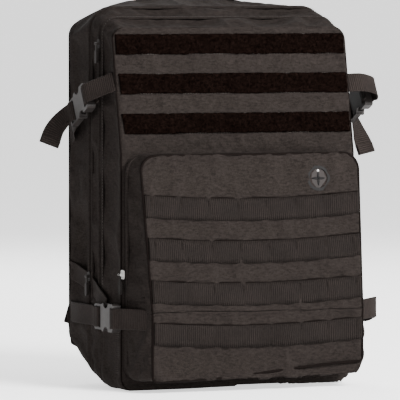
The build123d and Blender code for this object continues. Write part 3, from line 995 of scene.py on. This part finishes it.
def ladder_puff(x, share):
    """Each cell between bar tacks stands off the face a little."""
    nearest = min(abs(x - t) for t in TACKS)
    open_cell = min(1.0, nearest / (TACK_PITCH / 2))
    return 0.0016 * math.sin(open_cell * math.pi / 2) * (0.55 + 0.45 * math.sin(share * math.pi))


FACE_OUT = np.array((0, -1, FACE_LEAN)) / math.hypot(1, FACE_LEAN)
for number, z in enumerate((*ROW_LEVELS, BASE_ROW)):
    body = "root" if z == BASE_ROW else "door"
    node = {0: ["door_webbing"], 3: ["base_webbing"]}.get(number, [])
    grid = face_strip(f"ladder_row_{number}", pocket_surface, face_y, z, ROW_HEIGHT,
                      pocket_half(face_y(z)) - 0.0008, 0.0014, 0.0012, "row_webbing", body, ladder_puff,
                      replaces=node, sag=row_sag)
    # a wavy dark strip in the piping finish along each row's upper edge: painted shadow of the gap behind
    # the webbing
    waves = [noise.noise(Vector((p[0] * 34, number * 3.0, 0))) for p in grid[-1]]
    centres = [p + np.array((0, 0.0002, 0.0005 + 0.0013 * w)) for p, w in zip(grid[-1], waves)]
    sizes = [0.75 + 0.9 * abs(noise.noise(Vector((p[0] * 21, 9.0, number * 2.0)))) for p in grid[-1]]
    sweep(f"ladder_row_painted_shadow_{number}", centres, [(0, 0, s) for s in sizes], (0, 1, 0),
          disc_profile(0.0012, 8), "piping", body)
    for tack in TACKS:
        column = int(np.argmin(abs(grid[2, :, 0] - tack)))
        spot = grid[2:4, column].mean(0) + FACE_OUT * 0.0012
        bar_tack(body, spot, (1, 0, 0), (0, 0, 1), FACE_OUT, ROW_HEIGHT * 0.8, 13)


def loop_edge(x, share):
    return 0.0006 * math.sin(min(1.0, 6 * min(share, 1 - share)) * math.pi / 2)


PANEL_OUT = np.array((0, -1, PANEL_LEAN)) / math.hypot(1, PANEL_LEAN)
for number, z in enumerate(LOOP_LEVELS):
    grid = face_strip(
        f"loop_strip_{number}", front_surface, panel_y, z, LOOP_HEIGHT, HALF - 0.003, 0.0018, 0.0014,
        "loop_pile", "front_panel", loop_edge, 0.0018, 15, 0.0004,
        ["loop_strips"] if number == 0 else [], skew=0.0015 * number,
    )
    for row in (0, -1):
        stitch_line("front_panel", grid[row][2:-2] + PANEL_OUT * 0.0004, PANEL_OUT)


# The port's crossed slit: thin dark rubber strips laid on the disc, painted shade of the open cuts
disc = BVHTree.FromObject(frame["nodes"]["cable_port_disc"], bpy.context.evaluated_depsgraph_get())
spot = cast(disc, (PORT.x + 0.004, PORT.y - 0.05, PORT.z + 0.004), PORT)
middle = np.array((PORT.x, spot.y - 0.004 * FACE_LEAN, PORT.z)) + FACE_OUT * 0.0001
FACE_UP = np.array((0, FACE_LEAN, 1)) / math.hypot(1, FACE_LEAN)
FACE_ALONG = np.array((1.0, 0, 0))
SLIT = [(a * 0.0016, b * 0.0003) for a, b in CORNER_SIGNS]
for number, (along, across) in enumerate(((FACE_ALONG, FACE_UP), (FACE_UP, FACE_ALONG))):
    ends = [middle + along * s * PORT_RADIUS * 0.56 for s in (-1, -0.6, 0, 0.6, 1)]
    sizes = [across * s for s in (0.25, 0.9, 1.0, 0.9, 0.25)]
    sweep(f"port_slit_painted_shade_{number}", ends, sizes, FACE_OUT, SLIT, "port_rubber", "door")

stud = middle + FACE_UP * PORT_RADIUS * 0.60
sweep("port_stud", [stud + FACE_OUT * h for h in (-0.0004, 0.0006, 0.0009)],
      [FACE_ALONG * s for s in (1, 1, 0.6)], [FACE_UP * s for s in (1, 1, 0.6)],
      disc_profile(0.0016, 12), "slider_metal", "door")

# ---- Places on the buckles and walls ----
joints = {j["name"]: j for j in frame["record"]["behaviour"]["joints"]}


def buckle(level, name):
    """Mouth of a buckle's socket, and the directions towards its bar, across it and outward."""
    roots = [joints[f"{level}_squeeze_{name}_{letter}"]["pos_m"] for letter in "ab"]
    along = -np.array(joints[f"{level}_release_{name}"]["axis"], float)
    out = np.array((SIDES[name], 0.0, 0.0))
    return np.mean(roots, axis=0), along, np.cross(out, along), out


def at(place, x, z=0.0, y=0.0):
    mouth, along, across, out = place
    return mouth + along * x + across * y + out * z


def on_wall(side, y, z, lift):
    """A place this far off the outermost simulated wall at one height and depth."""
    hits = [tree.ray_cast(Vector((side * 0.3, y, z)), Vector((-side, 0, 0)))[0]
            for tree in (rear_surface, mid_surface, front_surface, pocket_surface)]
    reach = max([abs(hit.x) for hit in hits if hit], default=HALF)
    return np.array((side * (reach + lift), y, z))


WALL_UP = np.array((0.0, 0.0, 1.0))
BAR_WRAP = ((0.0375, 0.0068), (0.0315, 0.0066), (0.0280, 0.0), (0.0315, -0.0068), (0.0420, -0.0074))


# ---- Upper compression straps ----
SEAM_X = 0.0700             # along the buckle's line, from its mouth to the panel's seam
REAR_X = -0.0760            # and to the rear compartment's wall
TAIL_TIPS = {"left": (-0.2030, 0.0470, 0.2945), "right": (0.2228, 0.0300, 0.2790)}
TAIL_ENDS = {"left": (0.55, -0.35, -0.75), "right": (-0.58, -0.25, -0.78)}
SLACK_RUNS = {"left": ((0.060, 0.30), (0.048, 0.75)),
              "right": ((0.071, 0.42), (0.062, 0.84), (0.050, 1.00))}
for name, side in SIDES.items():
    place = buckle("upper", name)
    reach = abs(place[0][0]) - HALF
    droop = np.array((0, 0, -0.0045 if side > 0 else 0.0))
    seam = at(place, SEAM_X, 0.0012 - reach) + droop
    loop = [at(place, x, 0.0022 - reach + share * (reach + 0.003)) + droop
            for x, share in SLACK_RUNS[name]]
    ribbon(f"upper_front_strap_{name}", [seam, *loop, *(at(place, *p) for p in BAR_WRAP)], place[2],
           "front_panel", replaces=["upper_front_webbing"] if name == "left" else [])
    end = at(place, REAR_X, 0.0014 - reach)
    rear = [end, at(place, -0.066, 0.0024 - reach), at(place, -0.050, 0.002 - reach * 0.6),
            at(place, -0.032, -0.0066), at(place, -0.024, -0.0060), at(place, -0.010, -0.0058)]
    run = ribbon(f"upper_rear_strap_{name}", rear, place[2],
                 replaces=["compression_webbing"] if name == "left" else [])
    tuple(rear[1])
    tuple(rear[3])
    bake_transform(run)
    box_stitch("root", end + place[3] * 0.0014 - place[2] * 0.009, place[1], place[2], place[3],
               0.014, 0.018)
    tip = np.array(TAIL_TIPS[name])
    lean = np.array(TAIL_ENDS[name])
    flat = -place[2] * np.sign(place[2][2])
    tail = [at(place, -0.0085, -0.0040), at(place, -0.0086, 0.0030), at(place, -0.0130, 0.0062),
            at(place, -0.0200, 0.0066), at(place, -0.0270, 0.0085)]
    tail += [0.5 * (tail[-1] + tip) + np.array((side * 0.001, 0.004, 0.002)), tip]
    ribbon(f"upper_tail_{name}", tail, [flat] * 5 + [flat + lean * 0.6, lean], f"upper_plug_{name}",
           WEB * 0.99)
    hem = [tail[-1] + (tail[-2] - tail[-1]) * share for share in (0.42, 0.2, -0.01)]
    ribbon(f"upper_tail_hem_{name}", hem, lean, f"upper_plug_{name}", WEB * 0.985, 0.0036, 4)

# ---- Lower compression straps ----
for name, side in SIDES.items():
    place = buckle("lower", name)
    level = place[0][2]
    bulge, lift = (0.001, 0.0) if side < 0 else (0.016, 0.006)
    front = [(side * 0.1405, FACE_LOW + 0.0015, level + lift * 0.6),
             (side * 0.1440, FACE_LOW + 0.009, level + lift * 0.8),
             (side * (0.1500 + bulge * 0.7), FACE_LOW + 0.018, level + 0.0005 + lift),
             (side * (0.1590 + bulge), FACE_LOW + 0.032, level + 0.0005 + lift),
             (side * (0.1660 + bulge * 0.5), FACE_LOW + 0.045, level + lift * 0.5)]
    ribbon(f"lower_front_strap_{name}", [*front, *(at(place, *p) for p in BAR_WRAP)], WALL_UP, "root",
           replaces=["lower_front_webbing"] if name == "left" else [])
    turn = [(side * 0.1400, BACK + 0.0018, level + 0.004), (side * 0.1535, BACK - 0.0005, level + 0.003)]
    rear = turn + [on_wall(side, y, level, 0.0060 if y < 0.06 else 0.0024) for y in (0.078, 0.052, 0.026)]
    rear += [at(place, -0.0290, -0.0034), at(place, -0.0200, -0.0058), at(place, -0.0100, -0.0058)]
    run = ribbon(f"lower_rear_strap_{name}", rear, WALL_UP)
    tuple(rear[2])
    tuple(rear[5])
    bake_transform(run)
    loop = [at(place, -0.0092, -0.0030), at(place, -0.0080, 0.0020), at(place, -0.0105, 0.0056),
            at(place, -0.0160, 0.0058), at(place, -0.0220, 0.0056), at(place, -0.0275, 0.0030),
            at(place, -0.0340, -0.0008), at(place, -0.0440, -0.0018)]
    ribbon(f"lower_plug_loop_{name}", loop, WALL_UP, f"lower_plug_{name}", WEB * 0.98)
    # the loose end, turned up and sewn into the rear seam
    slant = [(side * 0.1440, BACK + 0.0020, 0.1430), (side * 0.1550, BACK - 0.001, 0.1400)]
    slant += [on_wall(side, y, z, lift) for y, z, lift in
              ((0.070, 0.1345, 0.0026), (0.040, 0.1270, 0.0034), (0.012, 0.1195, 0.0046),
               (-0.008, 0.1110, 0.0048), (-0.026, 0.1000, 0.0040))]
    ribbon(f"turned_end_{name}", slant, WALL_UP + (0, 0.25, 0), "root", 0.022)

# ---- Trim on the lower sides ----
for name, side in SIDES.items():
    strip = [on_wall(side, -0.0530 + 0.006 * (z - 0.02), z, 0.0012) for z in (0.020, 0.038, 0.056, 0.074)]
    ribbon(f"side_grosgrain_{name}", strip, (0, 1, 0), "root", 0.0115, 0.0012)
    tab = [on_wall(side, y, 0.1115, 0.0012) for y in (-0.078, -0.088, -0.099, -0.110)]
    ribbon(f"zip_end_tab_{name}", tab, WALL_UP, "door", 0.0075, 0.0012, slot_name="pack_fabric")
    for lift in (-0.0022, 0.0022):
        line = [p + np.array((side * 0.0008, 0, lift)) for p in tab]
        stitch_line("door", line, (side, 0, 0))
    box_stitch("front_panel", on_wall(side, SECOND_Y - 0.0125, 0.116, 0.0010), (0, 1, 0), WALL_UP,
               (side, 0, 0), 0.008, 0.010)

# ---- Dividers and pockets inside ----
def divider():
    """A fabric wall between the rear and middle compartments, cut at the fold, lightly undulating."""
    y_plane = MAIN_Y - 0.0026
    wide = COLUMNS // 2 + 1
    verts = []
    for row in BODY_ROWS:
        for share in COLUMN_SHARES[::2]:
            z, half, _ = body_row(row, y_plane, -0.0045, share)
            x = share * 0.985 * half
            verts.append((x, y_plane, z + slump(x, z)))
    faces = grid_faces(len(BODY_ROWS), wide)
    above = [f[0] // wide >= fold_row_of(BODY_ROWS) for f in faces]
    verts = np.array(verts)
    for v in verts:
        inside = 1 - max(abs(v[0]) / HALF, abs(v[2] - 0.23) / 0.24)
        v[1] += 0.0022 * noise.noise(Vector(v) * 16 + Vector((3, 0, 0))) * min(1, max(0, inside) * 8)
    for obj in cut(verts, faces, above, {True: ("mid_divider_page", "mid_section", ()),
                                         False: ("mid_divider_base", "root", ())}, "lining"):
        modify(obj, "SOLIDIFY", thickness=0.0012, offset=0)


divider()


def panel(name, node, slot_name, body, seed, swell, thick=0.0014):
    """A sewn sheet filling its CAD solid's plan, slack in its middle."""
    low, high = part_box(node)
    us, ws = (np.linspace(0, 1, max(3, round(span / 0.006))) for span in (high.x - low.x, high.z - low.z))
    verts = []
    for w in ws:
        for u in us:
            x, z = low.x + u * (high.x - low.x), low.z + w * (high.z - low.z)
            dome = math.sin(u * math.pi) * math.sin(min(1.0, w * 1.6) * math.pi / 2)
            ripple = 0.0008 * noise.noise(Vector((x * 22, seed, z * 12)))
            verts.append((x, (low.y + high.y) / 2 + (ripple - swell) * dome, z))
    obj = link(name, verts, grid_faces(len(ws), len(us)), slot_name, body, [node])
    modify(obj, "SOLIDIFY", thickness=thick, offset=0)


def rounded_plan(x0, x1, z0, z1, radius, sides=6):
    """Points round a rounded rectangle, anticlockwise from the lower right."""
    points = []
    for cx, cz, start in ((x1 - radius, z0 + radius, -90), (x1 - radius, z1 - radius, 0),
                          (x0 + radius, z1 - radius, 90), (x0 + radius, z0 + radius, 180)):
        for k in range(sides + 1):
            angle = math.radians(start + 90 * k / sides)
            points.append((cx + radius * math.cos(angle), cz + radius * math.sin(angle)))
    return points


def plate(name, plan, y0, y1, slot_name):
    """A flat sheet of this plan between two depths."""
    link(name, *extrusion(plan, y0, y1), slot_name, "root", smooth=False)


def bound_edge(name, points, body, width=0.016, thick=0.0028):
    ribbon(name, points, WALL_UP, body, width, thick, 4, slot_name="binding")


low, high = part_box("hydration_sleeve")
panel("hydration_sleeve_pocket", "hydration_sleeve", "lining", "root", 5, 0.004)
middle_y = (low.y + high.y) / 2
bound_edge("sleeve_binding", [(high.x * u, middle_y - swell, high.z - drop) for u, swell, drop in
                              ((-1, 0.0, 0.004), (-0.5, 0.0030, 0.005), (0, 0.0044, 0.006),
                               (0.5, 0.0030, 0.005), (1, 0.0, 0.004))], "root", thick=0.0040)
sheet_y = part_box("frame_sheet")[0].y
BACK_HALF, BACK_FOOT = 0.136, 0.0545
plate("back_lining", rounded_plan(-BACK_HALF, BACK_HALF, BACK_FOOT, 0.4360, 0.018), sheet_y - 0.0024,
      sheet_y - 0.0010, "lining")
low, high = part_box("mesh_pocket")
panel("divider_mesh_pocket", "mesh_pocket", "mesh", "mid_section", 9, 0.003, thick=0.001)
bound_edge("mesh_binding", [(low.x, low.y, high.z), (0, low.y - 0.003, high.z - 0.003),
                            (high.x, low.y, high.z)], "mid_section")
low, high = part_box("organiser_panel")
panel("organiser_backing", "organiser_panel", "lining", "front_panel", 13, -0.0004)
for k in range(3):
    width = (high.x - low.x) / 3
    x0 = low.x + k * width
    bulge = [(x0 + x, high.y + out, z) for x, out, z in
             ((0.003, 0.0002, 0.168), (width * 0.25, 0.0075, 0.167), (width * 0.5, 0.0090, 0.166),
              (width * 0.75, 0.0075, 0.167), (width - 0.003, 0.0002, 0.168))]
    ribbon(f"organiser_sleeve_{k}", bulge, WALL_UP, "front_panel", 0.090, 0.0014, 6, slot_name="lining")
    bound_edge(f"organiser_sleeve_edge_{k}", [(x, y, 0.212) for x, y, _ in bulge], "front_panel", 0.010)
loops = [(low.x + (high.x - low.x) * k / 16, high.y + (0.0062 if k % 2 else 0.0006), 0.245)
         for k in range(17)]
ribbon("organiser_elastic", loops, WALL_UP, "front_panel", 0.022, 0.0012, 6)


# ---- Back: pads, harness and handle ----
def foam(name, plan, y0, y1, body, replaces, cap=0.0025, channel_z=None):
    """A padded piece: a slab of this plan, remeshed, blown up as cloth, then pressed into a channel."""
    work = link(name + "_work", *extrusion(plan, y0, y1), "padding")
    modify(work, "REMESH", mode="VOXEL", voxel_size=0.005)
    modify(work, "SMOOTH", factor=0.6, iterations=3)
    apply_modifiers(work)
    co = np.array([v.co for v in work.data.vertices], float)
    faces = [tuple(p.vertices) for p in work.data.polygons]
    rear = {i: 0.9 for i, v in enumerate(co) if v[1] < y0 + (y1 - y0) * 0.18}
    co = simulate(work, rear, PRESSURE, 0.0, cap)
    bpy.data.objects.remove(work)
    if channel_z:
        pressed = np.exp(-((co[:, 2] - channel_z) / 0.0035) ** 2) * (y1 - y0) * 0.28
        co[:, 1] -= np.where(co[:, 1] > (y0 + y1) / 2, pressed, 0)
    obj = link(name, co, faces, "padding", body, replaces)
    modify(obj, "SUBSURF", levels=1, render_levels=1)


pad_low, pad_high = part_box("back_pads")
PAD_LEVELS = ((pad_low.z, 0.150), (0.165, 0.285), (0.300, pad_high.z))


def plan_binding(name, plan, y, middle, profile):
    """An edging round a plan on the back; middle is the place it faces away from."""
    outward = [np.array((x - middle[0], 0, z - middle[1])) for x, z in plan]
    sweep(name, [(x, y, z) for x, z in plan], [v / np.linalg.norm(v) for v in outward], (0, 1, 0), profile,
          "binding", "root", closed=True)


plan = rounded_plan(-BACK_HALF, BACK_HALF, BACK_FOOT, 0.4300, 0.022)
plate("back_mesh", plan, BACK - 0.0008, BACK + 0.0010, "mesh")
plan_binding("back_mesh_binding", plan, BACK + 0.0008, (0, 0.242), disc_profile(0.0026, 8, 0.5))
for name, side in SIDES.items():
    for number, (z0, z1) in enumerate(PAD_LEVELS):
        x0, x1 = sorted((side * 0.026, side * pad_high.x))
        plan = rounded_plan(x0 + 0.004, x1 - 0.004, z0 + 0.004, z1 - 0.004, 0.014)
        middle = (x0 + x1) / 2, (z0 + z1) / 2
        foam(f"back_pad_{name}_{number}", plan, pad_low.y, pad_high.y - 0.002, "root",
             ["back_pads"] if (number, side) == (0, -1) else [], channel_z=middle[1])
        ring = rounded_plan(x0 + 0.001, x1 - 0.001, z0 + 0.001, z1 - 0.001, 0.016)
        plan_binding(f"pad_binding_{name}_{number}", ring, BACK + 0.0012, middle, disc_profile(0.0018, 8))

STRAP_MIDDLE = ((0.058, 0.426), (0.064, 0.365), (0.082, 0.295), (0.100, 0.235), (0.104, 0.200))
STRAP_HALF = 0.031
STRAP_LOW_Y, STRAP_HIGH_Y = 0.1060, 0.1205
for name, side in SIDES.items():
    body = f"harness_{name}"
    line = smooth_path([(side * x, 0, z) for x, z in STRAP_MIDDLE], 8)

    def strap_plan(half):
        """The strap's outline: down its inner edge and back up its outer one."""
        return ([(p[0] - side * half, p[2]) for p in line]
                + [(p[0] + side * half, p[2]) for p in line[::-1]])

    foam(f"shoulder_pad_{name}", strap_plan(STRAP_HALF - 0.003), STRAP_LOW_Y, STRAP_HIGH_Y, body,
         [f"shoulder_strap_{name}"], cap=0.004)
    ring = strap_plan(STRAP_HALF)
    points = np.array([(x, (STRAP_LOW_Y + STRAP_HIGH_Y) / 2, z) for x, z in ring])
    around = np.roll(points, -1, 0) - np.roll(points, 1, 0)
    outward = np.cross(around, (0, 1, 0))
    outward /= np.linalg.norm(outward, axis=1, keepdims=True)
    spine = np.array([line[min(k, 2 * len(line) - 1 - k)] for k in range(len(ring))])
    flip = np.sign(((points - spine) * outward).sum(1))
    outward *= np.where(flip == 0, 1, flip)[:, None]
    profile = [(0.0006, -0.0050), (0.0016, 0.0), (0.0006, 0.0050), (-0.0030, 0.0046), (-0.0030, -0.0046)]
    sweep(f"shoulder_binding_{name}", points, outward, (0, 1, 0), profile, "binding", body, closed=True)
    top_x = side * STRAP_MIDDLE[0][0]
    root = [(top_x, BACK + 0.0012, 0.410), (top_x, BACK + 0.0040, 0.424), (top_x, BACK + 0.0140, 0.4285),
            (top_x, STRAP_HIGH_Y - 0.004, 0.424), (top_x, STRAP_HIGH_Y + 0.0008, 0.406)]
    ribbon(f"shoulder_root_{name}", root, (1, 0, 0), body, 0.052, 0.0040, slot_name="pack_fabric")
    load = [(p[0], STRAP_HIGH_Y + 0.0024, p[2]) for p in line[2::4]]
    ribbon(f"shoulder_webbing_{name}", load, (1, 0, 0), body, WEB, 0.0016, 6)
    for p in load[1::2]:
        bar_tack(body, np.array(p) + (0, 0.0010, 0), (0, 0, 1), (1, 0, 0), (0, 1, 0), 0.020, 14)
    lock_low, lock_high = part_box(f"strap_adjuster_{name}")
    lock_x, lock_y = side * STRAP_MIDDLE[-1][0], (lock_low.y + lock_high.y) / 2
    lock_z = (lock_low.z + lock_high.z) / 2
    hang = [(lock_x, STRAP_HIGH_Y - 0.003, 0.213), (lock_x, lock_y + 0.0052, 0.2030),
            (lock_x, lock_y + 0.0050, 0.1965), (lock_x, lock_y, lock_z + 0.0055),
            (lock_x, lock_y - 0.0054, 0.1965), (lock_x, lock_y - 0.0050, 0.2120)]
    ribbon(f"adjuster_loop_{name}", hang, (1, 0, 0), body, WEB * 0.98)
    wing = np.array((side * 0.150, BACK + 0.0072, 0.070))
    pull = [wing, wing + (-side * 0.012, 0.003, 0.033), (side * 0.120, lock_y - 0.010, 0.146),
            (side * 0.1075, lock_y - 0.0052, 0.170), (lock_x, lock_y - 0.0050, 0.1755),
            (lock_x, lock_y, lock_z - 0.0055), (lock_x, lock_y + 0.0052, lock_z),
            (lock_x, lock_y + 0.0055, 0.1745)]
    lean = (0.94, 0, side * 0.33)
    webbing = ribbon(f"adjuster_strap_{name}", pull,
                     [lean, lean, lean, (1, 0, side * 0.1)] + [(1, 0, 0)] * 4,
                     replaces=["adjuster_webbing"] if side < 0 else [])
    tuple(pull[3])
    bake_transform(webbing)
    tail = [pull[-1], (lock_x, lock_y + 0.0070, 0.150), (lock_x + side * 0.004, lock_y + 0.0040, 0.110),
            (lock_x + side * 0.002, lock_y + 0.0010, 0.082)]
    ribbon(f"adjuster_tail_{name}", tail, [(1, 0, 0), (1, 0, 0), (1, 0.1, 0), (1, 0.15, 0)], body,
           WEB * 0.98)

wing_low, wing_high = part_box("strap_wings")
for name, side in SIDES.items():
    plan = [(side * x, z) for x, z in ((0.126, 0.032), (0.154, 0.047), (0.160, 0.087), (0.147, 0.096),
                                       (0.132, 0.070))]
    verts, faces = extrusion(plan, wing_low.y, wing_high.y)
    obj = link(f"strap_wing_{name}", verts, [f[::side] for f in faces], "pack_fabric", "root",
               ["strap_wings"] if side < 0 else [], smooth=False)
    modify(obj, "BEVEL", width=0.0009, segments=2)
    loop = [np.array((x, wing_high.y + 0.0002, z)) for x, z in plan]
    centre = sum(loop) / len(loop)
    loop = [centre + (p - centre) * 0.86 for p in loop]
    stitch_line("root", loop + loop[:1], (0, 1, 0))
    sewn, run = np.array((side * 0.1440, BACK + 0.0086, 0.0740)), np.array((-side * 0.34, 0.08, 0.94))
    box_stitch("root", sewn - np.array((0.0080, 0, side * 0.0028)), (0.94, 0, side * 0.33), run,
               (0, 1, 0), 0.016, 0.012)

# Webbing across the head of the harness, and the carry handle
yoke = [(x, BACK + 0.0022, 0.4180) for x in (-0.100, -0.058, -0.02, 0.02, 0.058, 0.100)]
ribbon("yoke_webbing", yoke, WALL_UP, "root", 0.030, 0.0018)
for x in (-0.094, -0.022, 0.022, 0.094):
    bar_tack("root", (x, BACK + 0.0034, 0.418), (1, 0, 0), WALL_UP, (0, 1, 0), 0.024, 15)
handle_low, handle_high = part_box("carry_handle")
mid_y = (handle_low.y + handle_high.y) / 2
for name, side in SIDES.items():
    foot_x = side * 0.055
    turn = [(foot_x, mid_y, handle_high.z + 0.0012), (side * 0.0552, mid_y, 0.4600),
            (side * 0.0500, mid_y + 0.0006, 0.4505), (side * 0.0380, mid_y + 0.0008, 0.4475),
            (side * 0.0250, mid_y + 0.0008, 0.4470)]
    turn_across = [(1, 0, 0), (1, 0, 0), (0.7, 0, -side * 0.7), (0, 0, -side), (0, 0, -side)]
    ribbon(f"handle_webbing_{name}", turn, turn_across, "handle", 0.019, 0.0026)
    anchor = [(foot_x, BACK + 0.0009, z) for z in (0.4280, 0.4510, 0.4762)]
    ribbon(f"handle_anchor_{name}", anchor, (1, 0, 0), "root", 0.021, 0.0013)
    bar_tack("handle", (foot_x, mid_y + 0.0018, 0.464), (0, 0, 1), (1, 0, 0), (0, 1, 0), 0.014, 11)
GRIP_HALF = 0.040
GRIP_Z = 0.4470
along_grip = [-GRIP_HALF + 2 * GRIP_HALF * k / 24 for k in range(25)]
tapers = [(1 - abs(x / GRIP_HALF) ** 5) ** 0.5 * 0.6 + 0.4 for x in along_grip]
grip = sweep("handle_grip_pad", [(x, mid_y, GRIP_Z + 0.0004 * math.sin(x * 60)) for x in along_grip],
             [(0, 0, t) for t in tapers], [(0, t, 0) for t in tapers], disc_profile(0.0095, 16, 0.52),
             "pack_fabric", "handle", replaces=["carry_handle"])
stitch_line("handle", [(x, mid_y + 0.0050, GRIP_Z) for x in (-0.036, 0.036)], (0, 1, 0))

# ---- Hardware: finishes on the frame's own pieces ----
for part in frame["record"]["subparts"]:
    mesh = frame["nodes"][part["node"]].data
    mesh.materials.clear()
    mesh.materials.append(MATERIALS[part["material_slot"]])
ROUNDING = {"_plug_": 0.0007, "_prong_": 0.0007, "_sockets": 0.0007, "strap_adjuster_": 0.0008,
            "_slider_": 0.0003, "_puller_": 0.0003, "cable_port_": 0.0004}
for node, obj in frame["nodes"].items():
    for kind, width in ROUNDING.items():
        if kind in node:
            modify(obj, "BEVEL", width=width, segments=2, limit_method="ANGLE", angle_limit=0.6)
    if ("_slider_" in node or "_puller_" in node) and not node.startswith("pocket"):
        obj.data.materials[0] = MATERIALS["slider_dark"]

# ---- Stitches ----
for body, (verts, faces) in stitch_store.items():
    thread = "thread" if body == "front_panel" else "dark_thread"
    link(f"stitches_{body}", verts, faces, thread, body)
